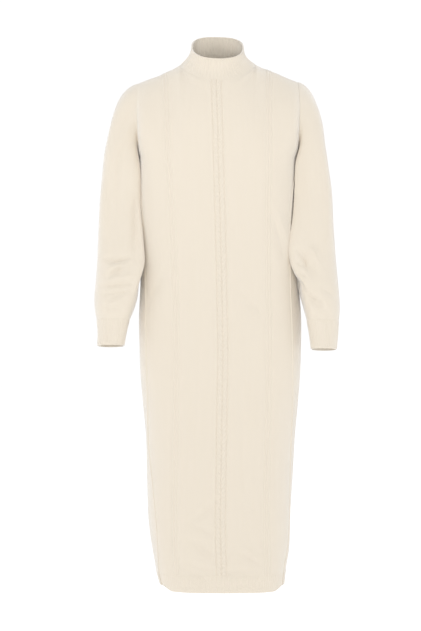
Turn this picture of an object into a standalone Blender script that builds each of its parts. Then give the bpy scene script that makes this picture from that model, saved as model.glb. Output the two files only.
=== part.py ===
"""A midi sweater dress with a ribbed mock neck, filled out as when it is worn. Metres, +Z up, front towards -Y.

The origin lies between the two neck ends of the shoulder seams, where the wearer's shoulders carry the dress.
Left and right are the wearer's, so left is +X. Each piece is a closed wall: an outer grid of points, which carries
the ribs and cables, over a plain inner grid. Grids of the trunk run anticlockwise seen from above: the front's
columns go from right to left, and the back's from left to right behind.
"""

import math

import bmesh
import bpy
import numpy as np

# Cloth
JERSEY = 0.0022  # wall of the front, the back and the sleeves
RIB_KNIT = 0.0026  # wall of the neck, the cuffs and the hem bands, without the ribs themselves
SEAM_GAP = 0.0003  # between two sewn pieces
KNIT_COLOUR = (0.86, 0.78, 0.66, 1.0)
KNIT_ROUGHNESS = 0.88

# Levels
UNDERARM_Z = -0.205
BAND_TOP_Z = -1.112  # seam of the hem bands
HEM_Z = -1.1497
VENT_TOP_Z = -1.062
VENT_SPREAD = 0.0045  # half of the vent's opening at the hem

# Shoulders, and the seam between the trunk and the collar
SHOULDER_X = 0.178
SHOULDER_Y = 0.004
NECK_X = 0.083  # neck end of the shoulder seam
NECK_Y = -0.012
NECK_FRONT = 0.076  # depth of the neck seam in front of NECK_Y
NECK_BACK = 0.070
NECK_SIDE_Z = 0.0012
NECK_FRONT_Z = -0.044
NECK_BACK_Z = 0.016
NECK_DIP = 1.4  # over 1, the neck seam stays high at the sides before it dips to the front
NECK_TURN = (38, 52)  # degrees by which cloth at the neck seam faces up, in front and at the sides

# Collar
RIM_CENTRE = -0.001
RIM_X = 0.0575
RIM_Y = -0.016
RIM_DEPTH = 0.060
RIM_POWER = 2.8  # over 2, a squarer oval
RIM_Z = 0.0385
RIM_SLOPE = 0.56  # the rim rises towards the back
NECK_LEAN = {"middle": 0.45, "left": 1.35, "right": 1.2}  # how far the collar leans in as it leaves the seam
RIM_LEAN = 0.06
# Levels of the collar as shares of its height, and how far its ribs stand out there. The last two are the rolled rim.
NECK_LEVELS = (0.0, 0.2, 0.55, 0.875, 0.9, 1.0)
NECK_LEVEL_RISE = (0.8, 1.0, 1.0, 1.0, 0.1, 0.7)
NECK_INNER_LEVELS = (0, 1, 3, 5)

# How the trunk's columns leave the underarm level and reach the top: (away from the middle depth, up)
UNDERARM_PULL = (0.0, 0.17)
ARMHOLE_PULL = (0.24, 0.10)  # the two edge columns, at the underarm
SHOULDER_PULL = (0.17, 0.04)
NECK_PULL = (0.09, 0.13)
ARMHOLE_TOP_PULL = (0.20, 0.05)
ARMHOLE_REACH = 0.112  # columns further out than this bend round the armhole
NECK_REACH = (0.020, 0.125)  # between these distances a column turns from the neck's pull to the shoulder's

# Knit relief
CABLE_WIDTH = 0.0106  # one rope, groove to groove
CABLE_CROWN, CABLE_STRAND, CABLE_LOW = 0.0017, 0.0012, 0.0004  # a crossing, strands side by side, the one below
GROOVE = -0.0007
FLANK_RISE = 0.0007
PIN_RIB = 0.0031  # a quarter of the width of a pair of narrow ribs
PIN_RIB_RISE = 0.0009
WELT_RISE = 0.0013  # raised edge along the side seams
NECK_RIBS, NECK_RIB_RISE = 58, 0.0013
CUFF_RIBS, CUFF_RIB_RISE = 40, 0.0009
HEM_RIB_PITCH, HEM_RIB_RISE = 0.0052, 0.0009
BAND_RISE = (0.7, 1.0, 0.8)  # share of the rise at the bottom, middle and top of a cuff or hem band

# Mesh
LOW_ROWS = 19  # from the underarm to the hem bands
LOW_FINE = 9  # cable rows in each of them
ARMHOLE_ROWS = 9  # from the underarm to the shoulder
ARMHOLE_FINE = 4
CAP_ROWS = 5
SLEEVE_ROWS = 15
SLEEVE_COLUMNS = 2 * ARMHOLE_ROWS
SMOOTH_UP_TO = 60  # degrees

# Columns on each side of the front's middle one, in stretches from there to the side seam
ROPE_PLACES = (0.25, 0.5, 0.75, 1.0)  # in cable widths
FLANK_PLACES = (0.0028, 0.0056)  # beyond the rope
PLAIN_PLACES = (0.5, 1.0)  # shares of the way to the neck's end
PIN_RIB_PLACES = (-2.75, -2, -1, 0, 1, 2, 2.75)  # in PIN_RIB from the middle of the pair
SIDE_PLACES = (0.3, 0.6, 0.82, 0.925, 0.962, 1.0)  # shares of the way to the edge, the last three across the welt
ROPE_RISE = ((CABLE_STRAND, 0.0, CABLE_STRAND, GROOVE), (CABLE_LOW, CABLE_CROWN, CABLE_LOW, GROOVE))
PLAIN_RISE = (FLANK_RISE, 0.0, 0.0, 0.0)
PIN_RIB_RELIEF = (0.0, GROOVE, PIN_RIB_RISE, GROOVE, PIN_RIB_RISE, GROOVE, 0.0)
SIDE_RISE = (0.0, 0.0, 0.0, 0.0, WELT_RISE, 0.0)
FRONT_INNER_COLUMNS = (2, 4, 6, 7, 8, 9, 12, 15, 17, 19, 21)
TOP_MIDDLE_X = -0.0042  # where the cable meets the neck
TOP_RIB_X = 0.1125  # where the narrow ribs meet the shoulder seams

# The back's columns: shares of the way from a side seam to the other, up to the middle
BACK_PLACES = (0.0, 0.04, 0.1, 0.17, 0.25, 0.33, 0.375, 0.42, 0.46, 0.5)
BACK_SHOULDER_COLUMNS = (0, 3, 5, 8, 12)  # the front's columns that they meet on a shoulder seam
BACK_NECK_TURNS = (90, 68, 45, 22, 0)  # degrees round the neck from behind

# Trunk of the dress. centre, sway and rib_offset are in x: sway is how far the knit pattern has swung from the
# middle, and rib_offset is from there to each pair of narrow ribs. seam_left and seam_right are the side seams'
# distances from the centre, as shares of half_width.
SECTION_COLUMNS = (
    "z", "centre", "half_width", "front", "back", "front_power", "back_power",
    "seam_left", "seam_right", "sway", "rib_offset",
)
SECTIONS = (
    (UNDERARM_Z, 0.0000, 0.1765, 0.1240, 0.0950, 2.25, 2.3, 0.999, 0.999, 0.0000, 0.1090),
    (-0.297, 0.0000, 0.1728, 0.1215, 0.0920, 2.30, 2.4, 0.940, 0.970, 0.0030, 0.1050),
    (-0.386, 0.0005, 0.1728, 0.1180, 0.0910, 2.35, 2.4, 0.900, 0.950, 0.0052, 0.1025),
    (-0.475, 0.0025, 0.1735, 0.1180, 0.0960, 2.40, 2.4, 0.890, 0.935, 0.0072, 0.1010),
    (-0.564, 0.0044, 0.1795, 0.1195, 0.1060, 2.45, 2.4, 0.870, 0.905, 0.0090, 0.1003),
    (-0.653, 0.0055, 0.1785, 0.1205, 0.1120, 2.50, 2.4, 0.880, 0.915, 0.0097, 0.1000),
    (-0.742, 0.0057, 0.1722, 0.1210, 0.1140, 2.55, 2.5, 0.915, 0.940, 0.0082, 0.0997),
    (-0.831, 0.0044, 0.1643, 0.1210, 0.1140, 2.60, 2.5, 0.950, 0.965, 0.0068, 0.0993),
    (-0.920, 0.0033, 0.1608, 0.1210, 0.1130, 2.70, 2.5, 0.970, 0.925, 0.0055, 0.0990),
    (-1.008, 0.0028, 0.1576, 0.1215, 0.1120, 2.85, 2.6, 0.972, 0.880, 0.0046, 0.0985),
    (-1.075, 0.0056, 0.1512, 0.1225, 0.1110, 3.00, 2.6, 0.962, 0.905, 0.0060, 0.0985),
    (BAND_TOP_Z, 0.0058, 0.1438, 0.1235, 0.1100, 2.85, 2.7, 0.955, 0.930, 0.0070, 0.0980),
    (HEM_Z, 0.0090, 0.1368, 0.1235, 0.1090, 2.75, 2.7, 0.950, 0.945, 0.0080, 0.0970),
)

# Height of the shoulder seam on each side, by the distance from the middle
SHOULDER_COLUMNS = ("away", "left", "right")
SHOULDERS = (
    (NECK_X, NECK_SIDE_Z, NECK_SIDE_Z),
    (0.095, -0.0050, -0.0058),
    (0.110, -0.0106, -0.0126),
    (0.132, -0.0186, -0.0222),
    (0.154, -0.0264, -0.0294),
    (SHOULDER_X, -0.0355, -0.0382),
)

# Rings of each sleeve below its cap, from the armhole to the cuff seam, and of each cuff. inner_x and outer_x are
# distances from the middle of the dress. tilt lowers the inner side and raises the outer one, pitch lowers the
# back, and yaw moves the front outwards and the back inwards.
RING_COLUMNS = ("z", "tilt", "inner_x", "outer_x", "centre_y", "half_depth", "pitch", "yaw")
SLEEVE_RINGS = {
    "left": (
        (-0.225, 0.028, 0.1700, 0.2415, -0.010, 0.062, 0.00, 0.20),
        (-0.300, 0.012, 0.1650, 0.2505, -0.018, 0.061, 0.00, 0.26),
        (-0.366, 0.000, 0.1630, 0.2530, -0.030, 0.060, 0.00, 0.22),
        (-0.430, 0.000, 0.1620, 0.2565, -0.044, 0.058, -0.02, 0.12),
        (-0.456, 0.000, 0.1650, 0.2590, -0.051, 0.057, -0.03, 0.08),
        (-0.481, 0.000, 0.1720, 0.2615, -0.057, 0.056, -0.05, 0.04),
        (-0.520, 0.000, 0.1805, 0.2638, -0.065, 0.052, -0.08, 0.00),
        (-0.545, 0.000, 0.1860, 0.2635, -0.070, 0.046, -0.10, 0.00),
        (-0.566, 0.000, 0.1915, 0.2610, -0.073, 0.037, -0.10, 0.00),
    ),
    "right": (
        (-0.225, 0.028, 0.1720, 0.2500, -0.010, 0.062, 0.00, 0.24),
        (-0.300, 0.012, 0.1660, 0.2600, -0.018, 0.061, 0.00, 0.32),
        (-0.366, 0.000, 0.1650, 0.2622, -0.030, 0.060, 0.00, 0.26),
        (-0.430, 0.000, 0.1680, 0.2640, -0.044, 0.058, -0.02, 0.14),
        (-0.456, 0.000, 0.1710, 0.2650, -0.051, 0.057, -0.03, 0.08),
        (-0.481, 0.000, 0.1732, 0.2668, -0.057, 0.056, -0.05, 0.04),
        (-0.520, 0.000, 0.1771, 0.2700, -0.065, 0.052, -0.08, 0.00),
        (-0.545, 0.000, 0.1845, 0.2690, -0.070, 0.046, -0.10, 0.00),
        (-0.564, 0.000, 0.1920, 0.2655, -0.073, 0.037, -0.10, 0.00),
    ),
}
CUFF_RINGS = {
    "left": (
        (-0.566, 0.000, 0.1915, 0.2610, -0.073, 0.037, -0.10, 0.00),
        (-0.590, 0.000, 0.1965, 0.2600, -0.075, 0.034, -0.10, 0.00),
        (-0.628, 0.000, 0.2025, 0.2605, -0.077, 0.033, -0.10, 0.00),
    ),
    "right": (
        (-0.564, 0.000, 0.1920, 0.2655, -0.073, 0.037, -0.10, 0.00),
        (-0.590, 0.000, 0.1985, 0.2628, -0.075, 0.034, -0.10, 0.00),
        (-0.618, 0.000, 0.2040, 0.2625, -0.077, 0.033, -0.10, 0.00),
    ),
}
SLEEVE_CLEARANCE = 0.0022  # between a sleeve and the trunk it hangs against

# How the cap of a sleeve leaves the armhole and meets the first ring
CAP_TOP_ANGLE = {"left": 20.0, "right": 12.0}  # degrees below level, on top of the shoulder
CAP_UNDERARM_ANGLE = 72.0
CAP_SWEEP = 0.16  # forwards in front and backwards behind
CAP_PULL_OUT, CAP_PULL_DOWN = 0.23, 0.15
CAP_PULL_SHARE = 1.1  # the pulls are at most this much of the way they bridge
CAP_FLARE = 0.002  # outwards in each RING_STEP, where the top of the cap meets the first ring
RING_STEP = 0.02

# Largest folds of the sleeves: a line on the front or the back of a sleeve, from (x0, z0) to (x1, z1) with x counted
# outwards from the middle of the dress, its half-width across, and how far it stands out (or sinks, below zero).
FOLD_COLUMNS = ("sleeve", "face", "x0", "z0", "x1", "z1", "spread", "rise")
FOLDS = (
    ("right", "front", 0.178, -0.300, 0.181, -0.430, 0.010, -0.0080),
    ("right", "front", 0.232, -0.452, 0.186, -0.436, 0.009, -0.0040),
    ("right", "front", 0.226, -0.474, 0.196, -0.455, 0.010, 0.0030),
    ("right", "front", 0.214, -0.500, 0.182, -0.508, 0.010, -0.0045),
    ("left", "front", 0.184, -0.412, 0.207, -0.462, 0.009, -0.0045),
    ("left", "front", 0.206, -0.395, 0.236, -0.470, 0.011, 0.0035),
    ("left", "front", 0.176, -0.476, 0.200, -0.505, 0.010, -0.0045),
    ("left", "front", 0.207, -0.516, 0.236, -0.544, 0.009, -0.0040),
    ("left", "back", 0.236, -0.430, 0.186, -0.452, 0.011, -0.0045),
    ("left", "back", 0.226, -0.500, 0.190, -0.486, 0.010, -0.0040),
    ("right", "back", 0.240, -0.442, 0.192, -0.430, 0.011, -0.0045),
    ("right", "back", 0.216, -0.486, 0.188, -0.500, 0.010, -0.0040),
)
FOLD_END = 0.35  # share of a fold's rise that is left at its ends
FOLDS_START_ROW, FOLDS_END_ROWS = 6, 2  # rows over which the folds fade in below the armhole, and out at the cuff

TINY = 1e-6


# ---------------------------------------------------------------- curves and vectors


def by_column(columns, rows):
    """A table as {column: numbers}, with the first column rising."""
    ordered = sorted(rows, key=lambda row: row[0])
    return {name: np.array([row[i] for row in ordered]) for i, name in enumerate(columns)}


def read(table, name, place):
    """A smooth curve through a column of the table, read at a place along the table's first column."""
    places, values = next(iter(table.values())), table[name]
    place = min(max(place, places[0]), places[-1])
    i = min(max(int(np.searchsorted(places, place)) - 1, 0), len(places) - 2)
    slopes = np.gradient(values, places)
    step = places[i + 1] - places[i]
    return hermite(values[i], slopes[i] * step, values[i + 1], slopes[i + 1] * step, (place - places[i]) / step)


def hermite(start, start_pull, end, end_pull, t):
    """A cubic from start to end that leaves and arrives along the two pulls."""
    return (
        start * (2 * t**3 - 3 * t**2 + 1)
        + start_pull * (t**3 - 2 * t**2 + t)
        + end * (3 * t**2 - 2 * t**3)
        + end_pull * (t**3 - t**2)
    )


def ease(share):
    """A smooth step from 0 to 1."""
    share = min(max(share, 0.0), 1.0)
    return share * share * (3 - 2 * share)


def mix(one, other, share):
    return one + (other - one) * share


def unit(vectors):
    length = np.linalg.norm(vectors, axis=-1, keepdims=True)
    return vectors / np.maximum(length, 1e-12)


def level(normals):
    """The normals without their parts in z, for an edge that lies level."""
    return unit(normals * np.array([1.0, 1.0, 0.0]))


def signed_power(value, power):
    return math.copysign(abs(value) ** power, value)


def resample(line, steps, values=None):
    """The line, or the values given at its points, at steps + 1 places that are equally far apart along it."""
    lengths = np.concatenate([[0], np.cumsum(np.linalg.norm(np.diff(line, axis=0), axis=1))])
    wanted = np.linspace(0, lengths[-1], steps + 1)
    values = line if values is None else values
    return np.stack([np.interp(wanted, lengths, values[:, k]) for k in range(3)], axis=1)


def grid_normals(points, wrap=False):
    """Normals of a grid, on the side that sees its columns go to the right and its rows go up."""
    if wrap:
        padded = np.concatenate([points[:, -1:], points, points[:, :1]], axis=1)
        across = padded[:, 2:] - padded[:, :-2]
    else:
        across = np.gradient(points, axis=1)
    return unit(np.cross(across, np.gradient(points, axis=0)))


TRUNK = by_column(SECTION_COLUMNS, SECTIONS)
SHOULDER_LINE = by_column(SHOULDER_COLUMNS, SHOULDERS)
SLEEVES = {name: by_column(RING_COLUMNS, rows) for name, rows in SLEEVE_RINGS.items()}
CUFFS = {name: by_column(RING_COLUMNS, rows) for name, rows in CUFF_RINGS.items()}


# ---------------------------------------------------------------- closed walls


class Wall:
    """A closed wall between an outer and an inner grid. The outer grid has all its columns, with a point on every
    row in the fine ones and on the coarse rows in the rest. The inner grid has the rows and columns given."""

    def __init__(self, outer, inner, rows, inner_rows, inner_columns, fine_columns=(), wrap=False):
        self.grids = {"outer": outer, "inner": inner}
        self.rows, self.inner_rows, self.inner_columns = list(rows), list(inner_rows), list(inner_columns)
        self.fine_columns, self.wrap = set(fine_columns), wrap
        self.columns = outer.shape[1]
        if wrap:
            self.inner_columns.append(self.columns)
        self.mesh = bmesh.new()
        self.made = {}
        self.outer_faces()
        self.inner_faces()
        self.row_edges()
        if not wrap:
            self.side_edges()

    def point(self, layer, row, column):
        if self.wrap:
            column %= self.columns
        key = (layer, row, column)
        if key not in self.made:
            self.made[key] = self.mesh.verts.new(self.grids[layer][row, column])
        return self.made[key]

    def outer_faces(self):
        for low, high in zip(self.rows, self.rows[1:]):
            for column in range(self.columns if self.wrap else self.columns - 1):
                self.strip(self.chain(column, low, high), self.chain(column + 1, low, high))

    def chain(self, column, low, high):
        """Points of an outer column between two coarse rows."""
        rows = range(low, high + 1) if column in self.fine_columns else (low, high)
        return [self.point("outer", row, column) for row in rows]

    def strip(self, left, right):
        """Faces between two columns. Where only one is fine, they fan out from the other's two points."""
        if len(left) == len(right):
            for i in range(len(left) - 1):
                self.mesh.faces.new([left[i], right[i], right[i + 1], left[i + 1]])
            return
        fine, coarse = (left, right) if len(left) > len(right) else (right, left)
        half = len(fine) // 2
        fans = [[fine[i], coarse[0], fine[i + 1]] for i in range(half)]
        fans.append([fine[half], coarse[0], coarse[1]])
        fans += [[fine[i], coarse[1], fine[i + 1]] for i in range(half, len(fine) - 1)]
        for fan in fans:
            self.mesh.faces.new(fan if fine is left else fan[::-1])

    def inner_faces(self):
        for low, high in zip(self.inner_rows, self.inner_rows[1:]):
            for a, b in zip(self.inner_columns, self.inner_columns[1:]):
                corners = ((low, a), (high, a), (high, b), (low, b))
                self.mesh.faces.new([self.point("inner", row, column) for row, column in corners])

    def row_edges(self):
        """The bottom and the top edge of the wall."""
        for row, turn in ((self.inner_rows[0], 1), (self.inner_rows[-1], -1)):
            for a, b in zip(self.inner_columns, self.inner_columns[1:]):
                loop = [self.point("inner", row, a), self.point("inner", row, b)]
                loop += [self.point("outer", row, column) for column in range(b, a - 1, -1)]
                self.mesh.faces.new(loop[::turn])

    def side_edges(self):
        for column, turn in ((0, -1), (self.columns - 1, 1)):
            for low, high in zip(self.inner_rows, self.inner_rows[1:]):
                loop = [self.point("inner", low, column), self.point("inner", high, column)]
                loop += [self.point("outer", row, column) for row in reversed(self.rows) if low <= row <= high]
                self.mesh.faces.new(loop[::turn])

    def to_object(self, name):
        bmesh.ops.triangulate(self.mesh, faces=self.mesh.faces[:])
        bmesh.ops.recalc_face_normals(self.mesh, faces=self.mesh.faces[:])
        data = bpy.data.meshes.new(name)
        self.mesh.to_mesh(data)
        self.mesh.free()
        data.shade_smooth()
        data.set_sharp_from_angle(angle=math.radians(SMOOTH_UP_TO))
        data.materials.append(knit_material(name))
        return bpy.data.objects.new(name, data)


def knit_material(name):
    material = bpy.data.materials.new(name + "_knit")
    material.use_nodes = True
    shader = material.node_tree.nodes["Principled BSDF"]
    shader.inputs["Base Color"].default_value = KNIT_COLOUR
    shader.inputs["Roughness"].default_value = KNIT_ROUGHNESS
    shader.inputs["Metallic"].default_value = 0.0
    return material


# ---------------------------------------------------------------- the trunk's form


def angle_at_share(share, power):
    """The section's angle from the front, at a distance from the centre given as a share of the half-width."""
    share = max(-1.0, min(1.0, share))
    return math.copysign(math.asin(abs(share) ** (power / 2)), share)


def trunk_point(z, angle):
    """A point of the section at height z. The angle is 0 in front, positive to the left and 180 degrees behind."""
    face = "front" if math.cos(angle) >= 0 else "back"
    power = read(TRUNK, face + "_power", z)
    x = read(TRUNK, "centre", z) + signed_power(math.sin(angle), 2 / power) * read(TRUNK, "half_width", z)
    y = -signed_power(math.cos(angle), 2 / power) * read(TRUNK, face, z)
    return np.array([x, y, z])


def trunk_half_width(y, z, side):
    """How far the trunk reaches to one side (1 left, -1 right) at depth y."""
    face = "front" if y < 0 else "back"
    power = read(TRUNK, face + "_power", z)
    share = min(abs(y) / read(TRUNK, face, z), 1.0)
    return side * read(TRUNK, "centre", z) + read(TRUNK, "half_width", z) * (1 - share**power) ** (1 / power)


def vent_spread(z):
    """Half the distance between the front and the back at the side seam."""
    share = max(0.0, (VENT_TOP_Z - z) / (VENT_TOP_Z - HEM_Z))
    return mix(SEAM_GAP / 2, VENT_SPREAD, share**1.5)


def edge_angle(z, side, face):
    """The angle at which the front or the back ends on one side, short of the seam by the gap or the vent."""
    share = read(TRUNK, "seam_left" if side > 0 else "seam_right", z)
    seam = side * angle_at_share(share, read(TRUNK, "front_power", z))
    inwards = -side if face == "front" else side
    step = 0.02
    pace = np.linalg.norm(trunk_point(z, seam + inwards * step) - trunk_point(z, seam)) / step
    angle = seam + inwards * vent_spread(z) / pace
    return angle + 2 * math.pi if face == "back" and side < 0 else angle


def half_front(middle, neck, ribs, edge, to_place):
    """Places of the front's columns on one side, from its middle out. The three landmarks are distances outwards,
    to_place turns such a distance into a place, and edge is the place of the last column."""
    away = [middle + CABLE_WIDTH * share for share in ROPE_PLACES]
    away += [middle + CABLE_WIDTH + offset for offset in FLANK_PLACES]
    away += [mix(away[-1], neck, share) for share in PLAIN_PLACES]
    away += [ribs + PIN_RIB * step for step in PIN_RIB_PLACES]
    places = [to_place(distance) for distance in away]
    return places + [mix(places[-1], edge, share) for share in SIDE_PLACES]


def front_angles(z):
    """Angles of the front's columns at height z, from right to left."""
    power, centre, half = (read(TRUNK, name, z) for name in ("front_power", "centre", "half_width"))
    middle, offset = read(TRUNK, "sway", z), read(TRUNK, "rib_offset", z)
    halves = {}
    for side in (1, -1):
        start = side * middle
        halves[side] = half_front(
            start, start + 0.9 * NECK_X, start + offset, side * edge_angle(z, side, "front"),
            lambda away, side=side: angle_at_share((away - side * centre) / half, power),
        )
    return [-angle for angle in reversed(halves[-1])] + [angle_at_share((middle - centre) / half, power)] + halves[1]


def front_top_x():
    """The x of the front's columns along the shoulder seams and the neck, from right to left."""
    halves = {
        side: half_front(side * TOP_MIDDLE_X, NECK_X, TOP_RIB_X, SHOULDER_X, lambda away: away)
        for side in (1, -1)
    }
    return [-x for x in reversed(halves[-1])] + [TOP_MIDDLE_X] + halves[1]


def back_angles(z):
    """Angles of the back's columns at height z, from left to right behind."""
    start, end = edge_angle(z, 1, "back"), edge_angle(z, -1, "back")
    shares = [*BACK_PLACES, *(1 - share for share in reversed(BACK_PLACES[:-1]))]
    return [mix(start, end, share) for share in shares]


def back_top_x():
    """The x of the back's columns along the shoulder seams and the neck, from left to right."""
    outwards = front_top_x()[::-1]
    half = [outwards[i] for i in BACK_SHOULDER_COLUMNS]
    half += [NECK_X * math.sin(math.radians(turn)) for turn in BACK_NECK_TURNS]
    return half + [-x for x in reversed(half[:-1])]


def top_point(x, face):
    """A point of the shoulder seam or, between its neck ends, of the neck seam."""
    if abs(x) >= NECK_X - TINY:
        share = (abs(x) - NECK_X) / (SHOULDER_X - NECK_X)
        height = read(SHOULDER_LINE, "left" if x > 0 else "right", abs(x))
        return np.array([x, mix(NECK_Y, SHOULDER_Y, share), height])
    along = math.sqrt(1 - (x / NECK_X) ** 2)
    if face == "front":
        return np.array([x, NECK_Y - NECK_FRONT * along, mix(NECK_SIDE_Z, NECK_FRONT_Z, along**NECK_DIP)])
    return np.array([x, NECK_Y + NECK_BACK * along, mix(NECK_SIDE_Z, NECK_BACK_Z, along)])


def rising_pulls(start, end, face):
    """Pulls of a column from the underarm level to the top: upright in the middle, round the armhole at the edge."""
    forwards = -1 if face == "front" else 1
    reach = max(0.0, abs(start[0]) - ARMHOLE_REACH) / (SHOULDER_X - ARMHOLE_REACH)
    at_edge = min(1.0, reach) ** 2
    near, far = NECK_REACH
    at_neck = ease((far - abs(end[0])) / (far - near))
    low = mix(np.array(UNDERARM_PULL), np.array(ARMHOLE_PULL), at_edge)
    high = mix(np.array(SHOULDER_PULL), np.array(NECK_PULL), at_neck)
    high = mix(high, np.array(ARMHOLE_TOP_PULL), at_edge)
    return np.array([0.0, forwards * low[0], low[1]]), np.array([0.0, -forwards * high[0], high[1]])


def panel(face):
    """Points of the front or the back, from the hem-band seam up to the shoulders and the neck."""
    angles, top_x = (front_angles, front_top_x()) if face == "front" else (back_angles, back_top_x())
    heights = np.linspace(BAND_TOP_Z, UNDERARM_Z, LOW_ROWS * LOW_FINE + 1)
    rows = [[trunk_point(z, angle) for angle in angles(z)] for z in heights]
    starts, ends = rows[-1], [top_point(x, face) for x in top_x]
    pulls = [rising_pulls(start, end, face) for start, end in zip(starts, ends)]
    for t in np.linspace(0, 1, ARMHOLE_ROWS * ARMHOLE_FINE + 1)[1:]:
        rows.append([hermite(s, low, e, high, t) for s, e, (low, high) in zip(starts, ends, pulls)])
    return np.array(rows)


UNDERARM_ROW = LOW_ROWS * LOW_FINE
COARSE_ROWS = [*range(0, UNDERARM_ROW, LOW_FINE)]
COARSE_ROWS += [UNDERARM_ROW + i * ARMHOLE_FINE for i in range(ARMHOLE_ROWS + 1)]


def shoulder_normal(x):
    """The way out of the cloth along a shoulder seam, square to it and without a part in y."""
    side, step = "left" if x > 0 else "right", 0.003
    rise = read(SHOULDER_LINE, side, abs(x) + step) - read(SHOULDER_LINE, side, abs(x) - step)
    return unit(np.array([-rise / (2 * step) * math.copysign(1, x), 0.0, 1.0]))


def neck_normal(point):
    """The way out of the cloth along the neck seam, halfway between the trunk's and the collar's."""
    away = unit(np.array([point[0] / NECK_X, (point[1] - NECK_Y) / NECK_FRONT, 0.0]))
    rise = math.radians(mix(*NECK_TURN, away[0] ** 2))
    return away * math.cos(rise) + np.array([0.0, 0.0, math.sin(rise)])


def top_normals(points):
    """Normals along the top edge of the front or the back, the same for both pieces of each seam."""
    normals = []
    for point in points:
        if abs(point[0]) < NECK_X - TINY:
            normals.append(neck_normal(point))
        elif abs(point[0]) < NECK_X + TINY:
            normals.append(unit(neck_normal(point) + shoulder_normal(point[0])))
        else:
            normals.append(shoulder_normal(point[0]))
    return np.array(normals)


def trunk_grids():
    """Points and normals of the front and the back. Where they meet they share their normals, so that the edges of
    the two walls lie face to face."""
    front, back = panel("front"), panel("back")
    front_normals, back_normals = grid_normals(front), grid_normals(back)
    for front_column, back_column in ((-1, 0), (0, -1)):
        mean = unit(front_normals[: UNDERARM_ROW + 1, front_column] + back_normals[: UNDERARM_ROW + 1, back_column])
        front_normals[: UNDERARM_ROW + 1, front_column] = mean
        back_normals[: UNDERARM_ROW + 1, back_column] = mean
    for points, normals in ((front, front_normals), (back, back_normals)):
        normals[0] = level(normals[0])
        normals[-1] = top_normals(points[-1])
    return front, front_normals, back, back_normals


def open_shoulder_seam(points):
    """Moves a panel's top edge back from the shoulder seams by half a gap."""
    on_shoulder = np.abs(points[-1][:, 0]) > NECK_X - TINY
    points[-1] += unit(points[-2] - points[-1]) * (SEAM_GAP / 2) * on_shoulder[:, None]


# ---------------------------------------------------------------- front, back and hem bands


def front_relief(row):
    """Rise of the knit along a row of the front: the ropes cross on every second row."""
    welt = SIDE_RISE if row <= UNDERARM_ROW else (0.0,) * len(SIDE_RISE)
    half = [*ROPE_RISE[row % 2], *PLAIN_RISE, *PIN_RIB_RELIEF, *welt]
    return half[::-1] + [GROOVE] + half


def front_body(points, normals):
    relief = np.array([front_relief(row) for row in range(len(points))])
    middle = points.shape[1] // 2
    inner_columns = [middle - step for step in reversed(FRONT_INNER_COLUMNS)]
    inner_columns += [middle, *(middle + step for step in FRONT_INNER_COLUMNS)]
    reach = len(ROPE_PLACES)
    wall = Wall(
        points + normals * relief[..., None], points - normals * JERSEY, COARSE_ROWS, COARSE_ROWS,
        inner_columns, fine_columns=range(middle - reach, middle + reach + 1),
    )
    return wall.to_object("front_body")


def back_body(points, normals):
    wall = Wall(points, points - normals * JERSEY, COARSE_ROWS, COARSE_ROWS, range(points.shape[1]))
    return wall.to_object("back_body")


def hem_line(z, face, steps=600):
    """The front's or the back's part of the section at height z, anticlockwise seen from above."""
    start, end = (edge_angle(z, side, face) for side in ((-1, 1) if face == "front" else (1, -1)))
    return np.array([trunk_point(z, angle) for angle in np.linspace(start, end, steps)])


def hem_band(name, face):
    """The ribbed band below the front or the back."""
    lines = [hem_line(z, face) for z in (HEM_Z, (BAND_TOP_Z + HEM_Z) / 2, BAND_TOP_Z - SEAM_GAP)]
    length = np.sum(np.linalg.norm(np.diff(lines[-1], axis=0), axis=1))
    columns = 2 * round(length / HEM_RIB_PITCH)
    points = np.array([resample(line, columns) for line in lines])
    normals = level(grid_normals(points))
    ribs = HEM_RIB_RISE * (np.arange(columns + 1) % 2)
    relief = np.outer(BAND_RISE, ribs)
    inner_columns = [*range(0, columns, 6), columns]
    wall = Wall(points + normals * relief[..., None], points - normals * RIB_KNIT, range(3), (0, 2), inner_columns)
    return wall.to_object(name)


# ---------------------------------------------------------------- collar


def rim_point(angle):
    """A point of the collar's rim. The angle is 0 in front and positive to the left."""
    x = RIM_CENTRE + RIM_X * signed_power(math.sin(angle), 2 / RIM_POWER)
    y = RIM_Y - RIM_DEPTH * signed_power(math.cos(angle), 2 / RIM_POWER)
    return np.array([x, y, RIM_Z + RIM_SLOPE * (y - RIM_Y)])


def collar_column(start, lift):
    """Points of a column of the collar, from a point of the neck seam up to the rim."""
    angle = math.atan2(start[0] / NECK_X, -(start[1] - NECK_Y) / NECK_FRONT)
    end = rim_point(angle)
    inwards = unit(np.array([-start[0], NECK_Y - start[1], 0.0]))
    lean = mix(NECK_LEAN["middle"], NECK_LEAN["left" if start[0] > 0 else "right"], abs(math.sin(angle)))
    span, up = np.linalg.norm(end - start), np.array([0.0, 0.0, 1.0])
    low, high = (inwards * lean + up) * span, (inwards * RIM_LEAN + up) * span
    return [hermite(start + lift, low, end, high, t) for t in NECK_LEVELS]


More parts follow.
